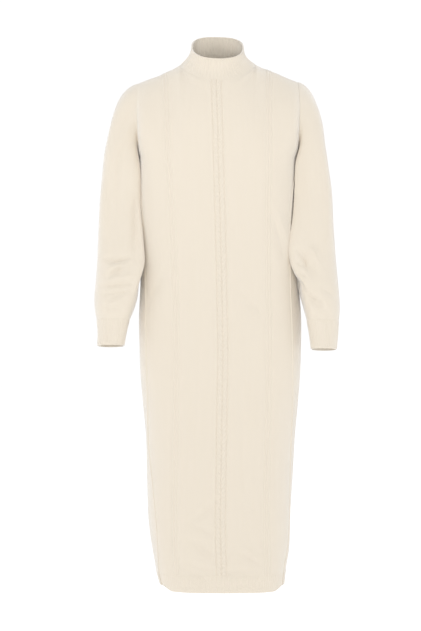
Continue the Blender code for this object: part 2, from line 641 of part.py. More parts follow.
def neck_rib(front, back):
    """The collar, from the neck seam up to its rolled rim. Its ribs show inside as well."""
    loop = np.array([point for point in (*front[-1], *back[-1][1:]) if abs(point[0]) < NECK_X + TINY])
    columns = 2 * NECK_RIBS
    seam = resample(loop, columns)[:-1]
    seam_normals = unit(resample(loop, columns, top_normals(loop))[:-1])
    along = np.roll(seam, -1, axis=0) - np.roll(seam, 1, axis=0)
    lifts = unit(np.cross(seam_normals, along)) * SEAM_GAP
    points = np.array([collar_column(start, lift) for start, lift in zip(seam, lifts)]).transpose(1, 0, 2)
    normals = grid_normals(points, wrap=True)
    normals[0] = seam_normals
    ribs = (np.arange(columns) % 2).astype(float)
    outside, inside = np.tile(ribs, (len(NECK_LEVELS), 1)), np.tile(1 - ribs, (len(NECK_LEVELS), 1))
    outside[-2:], inside[-2:] = 1.0, 0.5
    rise = NECK_RIB_RISE * np.array(NECK_LEVEL_RISE)[:, None]
    outer = points + normals * (outside * rise)[..., None]
    inner = points - normals * (RIB_KNIT + inside * rise)[..., None]
    wall = Wall(outer, inner, range(len(NECK_LEVELS)), NECK_INNER_LEVELS, range(columns), wrap=True)
    return wall.to_object("neck_rib")


# ---------------------------------------------------------------- sleeves and cuffs


def keep_clear(point, side, clearance):
    """The point, moved out of the trunk's way where it hangs beside it."""
    if point[2] < UNDERARM_Z:
        point[0] = side * max(side * point[0], trunk_half_width(point[1], point[2], side) + clearance)
    return point


def ring_point(table, z, turn, side):
    """A point of a sleeve's ring. turn is 0 next to the trunk, 0.25 in front, 0.5 outside and 0.75 behind."""
    inner, outer, centre_y, depth, tilt, pitch, yaw = (
        read(table, name, z) for name in ("inner_x", "outer_x", "centre_y", "half_depth", "tilt", "pitch", "yaw")
    )
    angle = 2 * math.pi * turn
    across = math.sqrt(((outer - inner) / 2) ** 2 - (yaw * depth) ** 2)
    x = (inner + outer) / 2 - across * math.cos(angle) + yaw * depth * math.sin(angle)
    y = centre_y - depth * math.sin(angle)
    height = z - tilt * math.cos(angle) + pitch * (y - centre_y)
    return keep_clear(np.array([side * x, y, height]), side, SLEEVE_CLEARANCE)


def ring(table, z, columns, side):
    return [ring_point(table, z, column / columns, side) for column in range(columns)]


def armhole(front, front_normals, back, back_normals, side):
    """The armhole from the underarm up the front and down the back: its points, normals and the way into it."""
    front_column, back_column = (-1, 0) if side > 0 else (0, -1)
    rows = COARSE_ROWS[LOW_ROWS:]
    back_rows = rows[-2:0:-1]
    points = np.concatenate([front[rows, front_column], back[back_rows, back_column]])
    normals = np.concatenate([front_normals[rows, front_column], back_normals[back_rows, back_column]])
    along = np.roll(points, -1, axis=0) - np.roll(points, 1, axis=0)
    return points, normals, unit(side * np.cross(along, normals))


def cap_column(name, side, column, start, start_normal, inwards):
    """Points of a column of the cap, from the armhole to the first ring."""
    table, top = SLEEVES[name], SLEEVE_RINGS[name][0][0]
    turn = column / SLEEVE_COLUMNS
    low = abs(1 - 2 * turn)
    slope = math.radians(mix(CAP_TOP_ANGLE[name], CAP_UNDERARM_ANGLE, low))
    leave = unit(np.array([side * math.cos(slope), -CAP_SWEEP * math.sin(2 * math.pi * turn), -math.sin(slope)]))
    start = start + unit(inwards + leave + 0.3 * start_normal) * SEAM_GAP
    end, beyond = (ring_point(table, z, turn, side) for z in (top, top - RING_STEP))
    arrive = unit(beyond - end + np.array([side * CAP_FLARE * (1 - low), 0.0, 0.0]))
    span = np.linalg.norm(end - start) * CAP_PULL_SHARE
    pulls = leave * min(CAP_PULL_OUT, span), arrive * min(CAP_PULL_DOWN, span)
    points = [start]
    for t in np.linspace(0, 1, CAP_ROWS + 1)[1:]:
        point = hermite(start, pulls[0], end, pulls[1], t)
        points.append(keep_clear(point, side, SLEEVE_CLEARANCE * min(1.0, 2 * t)))
    return points


def fold_rise(name, point):
    """How far the sleeve's folds move its surface out at a point."""
    face = "front" if point[1] < read(SLEEVES[name], "centre_y", point[2]) else "back"
    here, total = np.array([abs(point[0]), point[2]]), 0.0
    for row in FOLDS:
        fold = dict(zip(FOLD_COLUMNS, row))
        if (fold["sleeve"], fold["face"]) == (name, face):
            start = np.array([fold["x0"], fold["z0"]])
            line = np.array([fold["x1"], fold["z1"]]) - start
            along = float(np.clip((here - start) @ line / (line @ line), 0, 1))
            away = np.linalg.norm(here - start - line * along) / fold["spread"]
            swell = mix(FOLD_END, 1.0, math.sin(math.pi * along))
            total += fold["rise"] * swell * math.exp(-away * away)
    return total


def sleeve(name, side, armhole_parts):
    """A sleeve, from the armhole down to the cuff seam. Its columns go up the front first."""
    table = SLEEVES[name]
    cap = [cap_column(name, side, k, *parts) for k, parts in enumerate(zip(*armhole_parts))]
    heights = np.linspace(SLEEVE_RINGS[name][0][0], SLEEVE_RINGS[name][-1][0], SLEEVE_ROWS + 1)[1:]
    points = np.array([*np.array(cap).transpose(1, 0, 2), *(ring(table, z, SLEEVE_COLUMNS, side) for z in heights)])
    normals = -side * grid_normals(points, wrap=True)
    body_normals = armhole_parts[1]
    alike = np.clip(4 * np.sum(normals[0] * body_normals, axis=1), 0, 1)[:, None]
    normals[0] = unit(mix(normals[0], body_normals, alike))
    rows = np.arange(len(points))
    fade = np.minimum(rows / FOLDS_START_ROW, 1) * np.minimum((rows[-1] - rows) / FOLDS_END_ROWS, 1)
    rise = np.array([[fold_rise(name, point) for point in row] for row in points]) * fade[:, None]
    outer = points + normals * rise[..., None]
    for row in outer[FOLDS_START_ROW // 2 :]:
        for point in row:
            keep_clear(point, side, SLEEVE_CLEARANCE)
    wall = Wall(outer, outer - normals * JERSEY, rows, rows, range(SLEEVE_COLUMNS), wrap=True)
    return wall.to_object("sleeve_" + name)


def cuff(name, side):
    """A ribbed cuff, from its hem up to the cuff seam."""
    table, columns = CUFFS[name], 2 * CUFF_RIBS
    bottom, top = table["z"][0], table["z"][-1]
    points = np.array([ring(table, z, columns, side) for z in (bottom, (top + bottom) / 2, top)])
    points[-1, :, 2] -= SEAM_GAP
    normals = side * grid_normals(points, wrap=True)
    ribs = CUFF_RIB_RISE * (np.arange(columns) % 2)
    outer = points + normals * np.outer(BAND_RISE, ribs)[..., None]
    wall = Wall(outer, points - normals * RIB_KNIT, range(3), range(3), range(0, columns, 5), wrap=True)
    return wall.to_object("cuff_" + name)


# ---------------------------------------------------------------- the dress


def clear_scene():
    for thing in list(bpy.data.objects):
        bpy.data.objects.remove(thing, do_unlink=True)


def main():
    clear_scene()
    dress = bpy.data.collections.new("sweater_dress")
    bpy.context.scene.collection.children.link(dress)
    front, front_normals, back, back_normals = trunk_grids()
    pieces = [neck_rib(front, back), hem_band("hem_front", "front"), hem_band("hem_back", "back")]
    for name, side in (("left", 1), ("right", -1)):
        pieces.append(sleeve(name, side, armhole(front, front_normals, back, back_normals, side)))
        pieces.append(cuff(name, side))
    open_shoulder_seam(front)
    open_shoulder_seam(back)
    pieces += [front_body(front, front_normals), back_body(back, back_normals)]
    for piece in pieces:
        dress.objects.link(piece)


main()
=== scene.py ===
"""The sweater dress as it looks: each knitted piece is a fine thin shell on the form of its CAD solid.

Metres, +Z up, front towards -Y, the wearer's left at +X. The form comes from the same sections, rings and
seams as the CAD source, read more finely and with some of their numbers nearer to the photo. On it lie the
folds, then the knit's own relief (cables, ribs and welts), and the stitches are in the material. Grids of
points run from the bottom row up, in front from the right column to the left, and behind the other way.
"""

import math

import bpy
import numpy as np
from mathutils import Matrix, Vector


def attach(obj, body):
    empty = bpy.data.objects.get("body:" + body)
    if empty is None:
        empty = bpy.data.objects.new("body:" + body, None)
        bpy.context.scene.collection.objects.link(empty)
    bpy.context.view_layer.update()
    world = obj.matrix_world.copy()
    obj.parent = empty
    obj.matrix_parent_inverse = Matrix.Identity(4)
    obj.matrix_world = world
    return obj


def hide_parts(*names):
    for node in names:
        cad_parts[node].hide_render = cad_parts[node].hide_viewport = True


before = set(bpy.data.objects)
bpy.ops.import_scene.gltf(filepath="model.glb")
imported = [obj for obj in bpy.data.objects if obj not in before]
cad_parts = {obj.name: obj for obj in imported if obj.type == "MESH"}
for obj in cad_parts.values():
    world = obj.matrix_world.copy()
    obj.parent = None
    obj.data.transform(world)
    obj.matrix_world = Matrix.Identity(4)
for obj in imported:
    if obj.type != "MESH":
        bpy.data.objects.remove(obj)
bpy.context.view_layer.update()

# ---- sizes and form

JERSEY = 0.0022
RIB_KNIT = 0.0026
SEAM_GAP = 0.0003
UNDERARM_Z = -0.205
BAND_TOP_Z = -1.112
HEM_Z = -1.1497
VENT_TOP_Z = -1.062
VENT_SPREAD = 0.0045
VENT_POWER = 1.5
SHOULDER_X = 0.178
SHOULDER_Y = 0.004
NECK_X = 0.083
NECK_Y = -0.012
NECK_FRONT = 0.076
NECK_BACK = 0.070
NECK_SIDE_Z = 0.0012
NECK_FRONT_Z = -0.044
NECK_BACK_Z = 0.016
NECK_DIP = 1.4
NECK_TURN = (38, 52)
RIM_CENTRE = -0.001
RIM_X = 0.0575
RIM_Y = -0.016
RIM_DEPTH = 0.060
RIM_POWER, RIM_POWER_FRONT = 2.9, 2.15
RIM_TILT = -0.02
RIM_Z = 0.0385
RIM_SLOPE = 0.56
NECK_LEAN = {"middle": 0.45, "left": 1.6, "right": 1.15}
RIM_LEAN = 0.06
UNDERARM_PULL = (0.005, 0.17)
ARMHOLE_PULL = (0.24, 0.10)
SHOULDER_PULL = (0.17, 0.04)
NECK_PULL = (0.09, 0.13)
ARMHOLE_TOP_PULL = (0.20, 0.05)
ARMHOLE_REACH = 0.112
NECK_REACH = (0.020, 0.125)
TOP_MIDDLE_X = -0.0042
TOP_RIB_X = {1: 0.1125, -1: 0.1180}
CAP_TOP_ANGLE = {"left": 19.0, "right": 12.0}
CAP_UNDERARM_ANGLE = 86.0
CAP_SWEEP = 0.16
CAP_PULL_OUT, CAP_PULL_DOWN = 0.215, 0.13
CAP_PULL_SHARE = 1.1
CAP_FLARE = 0.0035
RING_STEP = 0.02
SLEEVE_CLEARANCE = 0.0010

SECTION_COLUMNS = (
    "z", "centre", "half_width", "front", "back", "front_power", "back_power",
    "seam_left", "seam_right", "sway", "rib_offset",
)
SECTIONS = (
    (UNDERARM_Z, 0, 0.1765, 0.124, 0.095, 2.9, 2.3, 0.999, 0.999, 0, 0.109),
    (-0.297, 0, 0.1728, 0.1215, 0.092, 3.25, 2.4, 0.94, 0.97, 0.003, 0.105),
    (-0.386, 0.0005, 0.1728, 0.118, 0.091, 3.35, 2.4, 0.9, 0.95, 0.0052, 0.1025),
    (-0.475, 0.0025, 0.1735, 0.118, 0.096, 3.3, 2.4, 0.89, 0.935, 0.0072, 0.101),
    (-0.564, 0.0044, 0.1795, 0.1195, 0.106, 3.1, 2.4, 0.87, 0.905, 0.009, 0.1003),
    (-0.653, 0.0055, 0.1785, 0.1205, 0.112, 2.8, 2.4, 0.88, 0.915, 0.0097, 0.1),
    (-0.742, 0.0057, 0.1722, 0.121, 0.114, 2.55, 2.5, 0.915, 0.94, 0.0082, 0.0997),
    (-0.831, 0.0044, 0.1643, 0.121, 0.114, 2.6, 2.5, 0.95, 0.965, 0.0068, 0.0993),
    (-0.92, 0.0033, 0.1608, 0.121, 0.113, 2.7, 2.5, 0.97, 0.925, 0.0055, 0.099),
    (-1.008, 0.0028, 0.1576, 0.1215, 0.112, 2.85, 2.6, 0.972, 0.88, 0.0046, 0.0985),
    (-1.075, 0.0052, 0.1506, 0.1225, 0.111, 3.0, 2.6, 0.962, 0.905, 0.006, 0.0985),
    (BAND_TOP_Z, 0.0058, 0.1438, 0.1235, 0.11, 3.3, 2.7, 0.955, 0.93, 0.007, 0.098),
    (HEM_Z, 0.0088, 0.1372, 0.1235, 0.109, 3.4, 2.7, 0.95, 0.945, 0.008, 0.097),
)
SHOULDER_COLUMNS = ("away", "left", "right")
SHOULDERS = (
    (NECK_X, NECK_SIDE_Z, NECK_SIDE_Z),
    (0.095, -0.0044, -0.0058),
    (0.11, -0.0094, -0.0126),
    (0.132, -0.0174, -0.0222),
    (0.154, -0.0264, -0.0294),
    (SHOULDER_X, -0.0355, -0.0382),
)
RING_COLUMNS = ("z", "tilt", "inner_x", "outer_x", "centre_y", "half_depth", "pitch", "yaw")
SLEEVE_RINGS = {
    "left": (
        (-0.225, 0.028, 0.17, 0.24, -0.01, 0.062, 0, 0.2),
        (-0.3, 0.012, 0.165, 0.2505, -0.018, 0.061, 0, 0.26),
        (-0.366, 0, 0.163, 0.253, -0.03, 0.06, 0, 0.22),
        (-0.43, 0, 0.162, 0.2565, -0.044, 0.058, -0.02, 0.12),
        (-0.456, 0, 0.165, 0.259, -0.051, 0.057, -0.03, 0.08),
        (-0.481, 0, 0.172, 0.2615, -0.057, 0.056, -0.05, 0.04),
        (-0.52, 0, 0.1805, 0.2638, -0.065, 0.052, -0.08, 0),
        (-0.545, 0, 0.186, 0.2635, -0.07, 0.046, -0.1, 0),
        (-0.566, 0, 0.1915, 0.261, -0.073, 0.037, -0.1, 0),
    ),
    "right": (
        (-0.225, 0.028, 0.172, 0.25, -0.01, 0.062, 0, 0.24),
        (-0.3, 0.012, 0.166, 0.26, -0.018, 0.061, 0, 0.32),
        (-0.366, 0, 0.165, 0.2622, -0.03, 0.06, 0, 0.26),
        (-0.43, 0, 0.168, 0.264, -0.044, 0.058, -0.02, 0.14),
        (-0.456, 0, 0.171, 0.265, -0.051, 0.057, -0.03, 0.08),
        (-0.481, 0, 0.1732, 0.2668, -0.057, 0.056, -0.05, 0.04),
        (-0.52, 0, 0.1771, 0.27, -0.065, 0.052, -0.08, 0),
        (-0.545, 0, 0.1845, 0.269, -0.07, 0.046, -0.1, 0),
        (-0.564, 0, 0.192, 0.2655, -0.073, 0.037, -0.1, 0),
    ),
}
CUFF_RINGS = {
    "left": (
        SLEEVE_RINGS["left"][-1],
        (-0.59, 0, 0.1965, 0.26, -0.075, 0.034, -0.1, 0),
        (-0.628, 0, 0.2025, 0.2578, -0.077, 0.033, -0.1, 0),
    ),
    "right": (
        SLEEVE_RINGS["right"][-1],
        (-0.59, 0, 0.1985, 0.2628, -0.075, 0.034, -0.1, 0),
        (-0.6205, 0, 0.2045, 0.2623, -0.077, 0.033, -0.1, 0),
    ),
}

# ---- knit relief

CABLE_WIDTH = 0.0106
CABLE_CROWN, CABLE_STRAND = 0.0013, 0.0008
STRAND_HALF = 0.27  # half-width of a strand, in rope widths
STRAND_PLACES = (0.25, 0.75)  # across the rope
GROOVE_DEPTH = 0.0009
GROOVE_HALF = 0.095  # half-width of the groove beside a rope, in rope widths
CROSSING_SINK = 0.8  # share of its height that the strand below loses at a crossing
FLANK_WIDTH, FLANK_RISE = 0.0056, 0.0007
PIN_RIB = 0.0031
PIN_HALF, PIN_FADE = 2.75, 0.75  # half-width of a pair of narrow ribs and of its faded edge, in ribs
PIN_RIB_RISE, PIN_RIB_DEPTH = 0.0007, 0.0006
WELT_START, WELT_RISE = 0.935, 0.0014
CABLE_ROWS_LOW, CABLE_ROWS_HIGH = 171, 36  # half-repeats of the cable below and above the underarm
NECK_RIBS, NECK_RIB_RISE = 58, 0.0008
CUFF_RIBS, CUFF_RIB_RISE = 40, 0.0006
HEM_RIB_PITCH, HEM_RIB_RISE = 0.0052, 0.0006
RIB_POWER = 3  # roundness of the ribs
RIB_LEAST = 0.25  # share of a rib's rise that is left at a band's seam and edge
EDGE_ROUNDING = 0.0007

# ---- mesh

FINE = 4  # rows of the rope in each half-repeat of the cable
COARSE = 3  # of those rows, every third one goes right across
ROPE_STEPS, FLANK_STEPS, PLAIN_STEPS, PAIR_STEPS = 12, 4, (14, 5), 16
SIDE_STEPS, WELT_STEPS = 16, 6
PLAIN_SPLIT = 0.9 * NECK_X  # where the front's plain columns change their spacing
BACK_STEPS = 104
SLEEVE_STEPS = 60  # columns from the underarm to the shoulder, on each face
CAP_ROWS, SLEEVE_ROWS = 34, 120
RIB_STEPS = 8  # columns in a rib
SMOOTH_UP_TO = 50


def by_column(columns, rows):
    """A table as {column: numbers}, with the first column rising."""
    ordered = sorted(rows, key=lambda row: row[0])
    return {name: np.array([row[i] for row in ordered]) for i, name in enumerate(columns)}


TRUNK = by_column(SECTION_COLUMNS, SECTIONS)
SHOULDER_LINE = by_column(SHOULDER_COLUMNS, SHOULDERS)
SLEEVES = {name: by_column(RING_COLUMNS, rows) for name, rows in SLEEVE_RINGS.items()}
CUFFS = {name: by_column(RING_COLUMNS, rows) for name, rows in CUFF_RINGS.items()}


def hermite(start, start_pull, end, end_pull, t):
    return (
        start * (2 * t**3 - 3 * t**2 + 1)
        + start_pull * (t**3 - 2 * t**2 + t)
        + end * (3 * t**2 - 2 * t**3)
        + end_pull * (t**3 - t**2)
    )


def read(table, name, place):
    """A smooth curve through a column of the table, read at places along the table's first column."""
    places, values = next(iter(table.values())), table[name]
    place = np.clip(place, places[0], places[-1])
    i = np.clip(np.searchsorted(places, place) - 1, 0, len(places) - 2)
    slopes = np.gradient(values, places)
    step = places[i + 1] - places[i]
    t = (place - places[i]) / step
    return hermite(values[i], slopes[i] * step, values[i + 1], slopes[i + 1] * step, t)


def ease(share):
    share = np.clip(share, 0.0, 1.0)
    return share * share * (3 - 2 * share)


def mix(one, other, share):
    return one + (other - one) * share


def length(vectors):
    return np.linalg.norm(vectors, axis=-1, keepdims=True)


def unit(vectors):
    return vectors / np.maximum(length(vectors), 1e-12)


def dot(one, other):
    return np.sum(one * other, axis=-1, keepdims=True)


UP = np.array([0.0, 0.0, 1.0])


def level(normals):
    return unit(normals * (1 - UP))


def signed_power(value, power):
    return np.sign(value) * np.abs(value) ** power


def lengths_along(points):
    """Lengths from the first point of a line, or of each row of a grid, to each of its points."""
    steps = np.linalg.norm(np.diff(points, axis=-2), axis=-1)
    return np.concatenate([np.zeros_like(steps[..., :1]), np.cumsum(steps, axis=-1)], axis=-1)


def resample(line, steps, values=None):
    """Points of a line at even steps, or what is given for its points."""
    along = lengths_along(line)
    wanted = np.linspace(0, along[-1], steps + 1)
    values = line if values is None else values
    return np.stack([np.interp(wanted, along, value) for value in values.T], axis=1)


def grid_normals(points, wrap=False):
    around = np.roll(points, -1, axis=1) - np.roll(points, 1, axis=1)
    return unit(np.cross(around if wrap else np.gradient(points, axis=1), np.gradient(points, axis=0)))


# ---- shells


class Shell:
    """Outer and inner grids of points joined into one thin closed shell, with the knit's own coordinates.

    A face's corners are (layer, row, column), with layer 0 outside and 1 inside. A tube's last column is its
    first one, at a place of its own in the knit.
    """

    def __init__(self, name, outer, inner, knit, wrap=False, coarse=(), fine_columns=(), pick=(2, 2)):
        rows, self.columns = outer.shape[:2]
        self.wrap, self.fine_columns = wrap, fine_columns
        self.coarse = coarse or range(rows)
        self.inner_rows = thin_out(self.coarse, pick[0])
        self.inner_columns = thin_out(range(self.columns + wrap), pick[1])
        self.grids = np.stack([outer, inner])
        self.knit = np.concatenate([knit, 2 * knit[:, -1:] - knit[:, -2:-1]], axis=1)
        self.object = self.to_object(name, [*self.outer_faces(), *self.inner_faces(), *self.edges()])

    def outer_faces(self):
        for low, high in zip(self.coarse, self.coarse[1:]):
            for column in range(self.columns - (not self.wrap)):
                left, right = self.chain(column, low, high), self.chain(column + 1, low, high)
                if len(left) == len(right):
                    yield from zip(left, right, right[1:], left[1:])
                else:
                    yield from self.fans(left, right)

    def chain(self, column, low, high):
        rows = range(low, high + 1) if column in self.fine_columns else (low, high)
        return [(0, row, column) for row in rows]

    def fans(self, left, right):
        """Triangles between a column with more rows and one with two."""
        fine, few = (left, right) if len(left) > len(right) else (right, left)
        half = len(fine) // 2
        fans = [(fine[i], few[0], fine[i + 1]) for i in range(half)]
        fans.append((fine[half], few[0], few[1]))
        fans += [(fine[i], few[1], fine[i + 1]) for i in range(half, len(fine) - 1)]
        return [fan if fine is left else fan[::-1] for fan in fans]

    def inner_faces(self):
        for low, high in zip(self.inner_rows, self.inner_rows[1:]):
            for a, b in zip(self.inner_columns, self.inner_columns[1:]):
                yield (1, low, a), (1, high, a), (1, high, b), (1, low, b)

    def edges(self):
        for row, turn in ((self.inner_rows[0], 1), (self.inner_rows[-1], -1)):
            for a, b in zip(self.inner_columns, self.inner_columns[1:]):
                outside = [(0, row, column) for column in range(b, a - 1, -1)]
                yield [(1, row, a), (1, row, b), *outside][::turn]
        for column, turn in () if self.wrap else ((0, -1), (self.columns - 1, 1)):
            for low, high in zip(self.inner_rows, self.inner_rows[1:]):
                outside = [(0, row, column) for row in self.coarse[::-1] if low <= row <= high]
                yield [(1, low, column), (1, high, column), *outside][::turn]

    def to_object(self, name, faces):
        where = {}
        loops = [
            [where.setdefault((layer, row, column % self.columns), len(where)) for layer, row, column in face]
            for face in faces
        ]
        points = np.array([self.grids[place] for place in where])
        turn = 1 if volume(points, loops) > 0 else -1
        data = bpy.data.meshes.new(name)
        data.from_pydata(points.tolist(), [], [loop[::turn] for loop in loops])
        knit = [self.knit[row, column] for face in faces for _, row, column in face[::turn]]
        data.uv_layers.new(name="knit").data.foreach_set("uv", np.array(knit, np.float32).ravel())
        data.update()
        data.shade_smooth()
        data.set_sharp_from_angle(angle=math.radians(SMOOTH_UP_TO))
        return add_object(name, data)


def volume(points, loops):
    """The volume inside faces, below zero when they are wound inwards."""
    fans = [(loop[0], a, b) for loop in loops for a, b in zip(loop[1:], loop[2:])]
    a, b, c = points[np.array(fans)].transpose(1, 0, 2)
    return np.sum(a * np.cross(b, c)) / 6


def add_object(name, data):
    made = bpy.data.objects.new(name, data)
    bpy.context.scene.collection.objects.link(made)
    return made


def thin_out(items, step):
    """Every so many of the items, the last one included."""
    return [*items[:-1:step], items[-1]]


def knit_coordinates(points, middle=0):
    """Across and up the knit, in metres, from the middle column and the first row."""
    across = lengths_along(points)
    across -= across[:, middle : middle + 1]
    up = lengths_along(points[:, middle])
    return np.stack([across, np.broadcast_to(up[:, None], across.shape)], axis=2)


# ---- the trunk's form


def angle_at_share(share, power):
    share = np.clip(share, -1.0, 1.0)
    return np.sign(share) * np.arcsin(np.abs(share) ** (power / 2))


def trunk_form(z, in_front):
    """Power and depth of the sections at heights z, in front or behind."""
    power = np.where(in_front, read(TRUNK, "front_power", z), read(TRUNK, "back_power", z))
    return power, np.where(in_front, read(TRUNK, "front", z), read(TRUNK, "back", z))


def trunk_points(z, angle):
    """Points of the sections at heights z. An angle is 0 in front, 90 degrees at the left and 180 behind."""
    power, depth = trunk_form(z, np.cos(angle) >= 0)
    x = read(TRUNK, "centre", z) + signed_power(np.sin(angle), 2 / power) * read(TRUNK, "half_width", z)
    y = -signed_power(np.cos(angle), 2 / power) * depth
    return np.stack([x, y, np.broadcast_to(z, x.shape)], axis=-1)


def trunk_half_width(y, z, side):
    power, depth = trunk_form(z, y < 0)
    share = np.minimum(np.abs(y) / depth, 1.0)
    return side * read(TRUNK, "centre", z) + read(TRUNK, "half_width", z) * (1 - share**power) ** (1 / power)


def vent_spread(z):
    share = np.maximum(0.0, (VENT_TOP_Z - z) / (VENT_TOP_Z - HEM_Z))
    return mix(SEAM_GAP / 2, VENT_SPREAD, share**VENT_POWER)


def edge_angle(z, side, face):
    share = read(TRUNK, "seam_left" if side > 0 else "seam_right", z)
    seam = side * angle_at_share(share, read(TRUNK, "front_power", z))
    inwards = -side if face == "front" else side
    step = 0.02
    pace = np.linalg.norm(trunk_points(z, seam + inwards * step) - trunk_points(z, seam), axis=-1) / step
    angle = seam + inwards * vent_spread(z) / pace
    return angle + 2 * math.pi if face == "back" and side < 0 else angle


def shares(steps):
    """Shares of a stretch at each of its steps, without its end."""
    return np.arange(steps) / steps


SIDE_SHARES = np.concatenate([
    WELT_START * (1 + np.arange(SIDE_STEPS)) / SIDE_STEPS,
    mix(WELT_START, 1.0, (1 + np.arange(WELT_STEPS)) / WELT_STEPS),
])


def half_front(middle, neck, ribs, edge, to_place):
    """Places of the front's columns on one side, from its middle out."""
    rope, pair = middle + CABLE_WIDTH, PIN_HALF * PIN_RIB
    stops = (middle, rope, rope + FLANK_WIDTH, neck, ribs - pair, ribs + pair)
    steps = (ROPE_STEPS, FLANK_STEPS, *PLAIN_STEPS, PAIR_STEPS)
    away = [mix(a, b, shares(n)) for a, b, n in zip(stops, stops[1:], steps)]
    away = np.concatenate([*away, stops[-1] + 0 * away[0][..., :1]], axis=-1)
    places = to_place(away)
    return np.concatenate([places, mix(places[..., -1:], edge, SIDE_SHARES)], axis=-1)


def front_angles(z):
    """Angles of the front's columns at heights z, from right to left."""
    power, centre, half = (read(TRUNK, name, z) for name in ("front_power", "centre", "half_width"))
    middle, offset = read(TRUNK, "sway", z), read(TRUNK, "rib_offset", z)
    left, right = (
        half_front(
            start, start + PLAIN_SPLIT, start + offset, side * edge_angle(z, side, "front"),
            lambda away: angle_at_share((away - side * centre) / half, power),
        )
        for side, start in ((1, middle), (-1, -middle))
    )
    return np.concatenate([-right[..., :0:-1], left], axis=-1)


def front_top_x():
    left, right = (
        half_front(side * TOP_MIDDLE_X, NECK_X, TOP_RIB_X[side], SHOULDER_X, lambda away: away)
        for side in (1, -1)
    )
    return np.concatenate([-right[:0:-1], left])


BACK_SHARES = np.arange(BACK_STEPS + 1) / BACK_STEPS
BACK_SHOULDER_SHARE = 0.22  # of the back's columns, on each side, end on a shoulder seam
BACK_FIT_POWER = 3  # how late the back's columns leave their even spacing for the side seams


def back_angles(z):
    """Angles of the back's columns at heights z, even in the middle and fitted to the side seams outwards."""
    away = 2 * BACK_SHARES - 1
    even = math.pi * (1 + away / 2)
    fit = np.where(away < 0, edge_angle(z, 1, "back") - even[0], edge_angle(z, -1, "back") - even[-1])
    return even + fit * np.abs(away) ** BACK_FIT_POWER


def back_top_x():
    half = BACK_SHARES[: BACK_STEPS // 2 + 1]
    on_shoulder = mix(SHOULDER_X, NECK_X, half / BACK_SHOULDER_SHARE)
    turn = math.pi / 2 * (0.5 - half) / (0.5 - BACK_SHOULDER_SHARE)
    x = np.where(half < BACK_SHOULDER_SHARE, on_shoulder, NECK_X * np.sin(turn))
    return np.concatenate([x, -x[-2::-1]])


def shoulder_height(x, away):
    return np.where(x > 0, read(SHOULDER_LINE, "left", away), read(SHOULDER_LINE, "right", away))


def top_points(x, face):
    """Points of the shoulder seams and, between their neck ends, of the neck seam."""
    away = np.abs(x)
    share = (away - NECK_X) / (SHOULDER_X - NECK_X)
    along = np.sqrt(np.maximum(0.0, 1 - (x / NECK_X) ** 2))
    if face == "front":
        neck_y, neck_z = NECK_Y - NECK_FRONT * along, mix(NECK_SIDE_Z, NECK_FRONT_Z, along**NECK_DIP)
    else:
        neck_y, neck_z = NECK_Y + NECK_BACK * along, mix(NECK_SIDE_Z, NECK_BACK_Z, along)
    on_shoulder = away >= NECK_X - 1e-6
    y = np.where(on_shoulder, mix(NECK_Y, SHOULDER_Y, share), neck_y)
    return np.stack([x, y, np.where(on_shoulder, shoulder_height(x, away), neck_z)], axis=-1)


def rising_pulls(start, end, face):
    forwards = -1 if face == "front" else 1
    reach = np.maximum(0.0, np.abs(start[:, 0]) - ARMHOLE_REACH) / (SHOULDER_X - ARMHOLE_REACH)
    at_edge = (np.minimum(1.0, reach) ** 2)[:, None]
    near, far = NECK_REACH
    at_neck = ease((far - np.abs(end[:, 0])) / (far - near))[:, None]
    pulls = UNDERARM_PULL, ARMHOLE_PULL, SHOULDER_PULL, NECK_PULL, ARMHOLE_TOP_PULL
    underarm, armhole, shoulder, neck, armhole_top = (np.array([0.0, *pull]) for pull in pulls)
    low = mix(underarm, armhole, at_edge)
    high = mix(mix(shoulder, neck, at_neck), armhole_top, at_edge)
    return low * (1, forwards, 1), high * (1, -forwards, 1)


LOW_ROWS, HIGH_ROWS = CABLE_ROWS_LOW * FINE, CABLE_ROWS_HIGH * FINE
TRUNK_ROWS = LOW_ROWS + HIGH_ROWS + 1
TRUNK_COARSE = range(0, TRUNK_ROWS, COARSE)


def panel(face):
    """Points of the front or the back, from the hem-band seam up to the shoulders and the neck."""
    angles, top_x = (front_angles, front_top_x()) if face == "front" else (back_angles, back_top_x())
    heights = np.linspace(BAND_TOP_Z, UNDERARM_Z, LOW_ROWS + 1)[:, None]
    low = trunk_points(heights, angles(heights))
    start, end = low[-1], top_points(top_x, face)
    low_pull, high_pull = rising_pulls(start, end, face)
    t = np.linspace(0, 1, HIGH_ROWS + 1)[1:, None, None]
    return np.concatenate([low, hermite(start, low_pull, end, high_pull, t)])


YOKE_ROWS = 60  # rows below the underarm over which the yoke's softening ends
YOKE_SPREAD, YOKE_LEAST = 0.020, 0.15  # the width that is averaged, and the share of it left at the top
YOKE_TOP, YOKE_END = 0.22, 0.14  # shares of the way down over which the softening widens and comes in
YOKE_EDGE = (0.115, 0.158)  # the places across between which it ends towards the armholes
YOKE_SHARES = np.array([1.0, 0.5])  # of it, in depth and in height


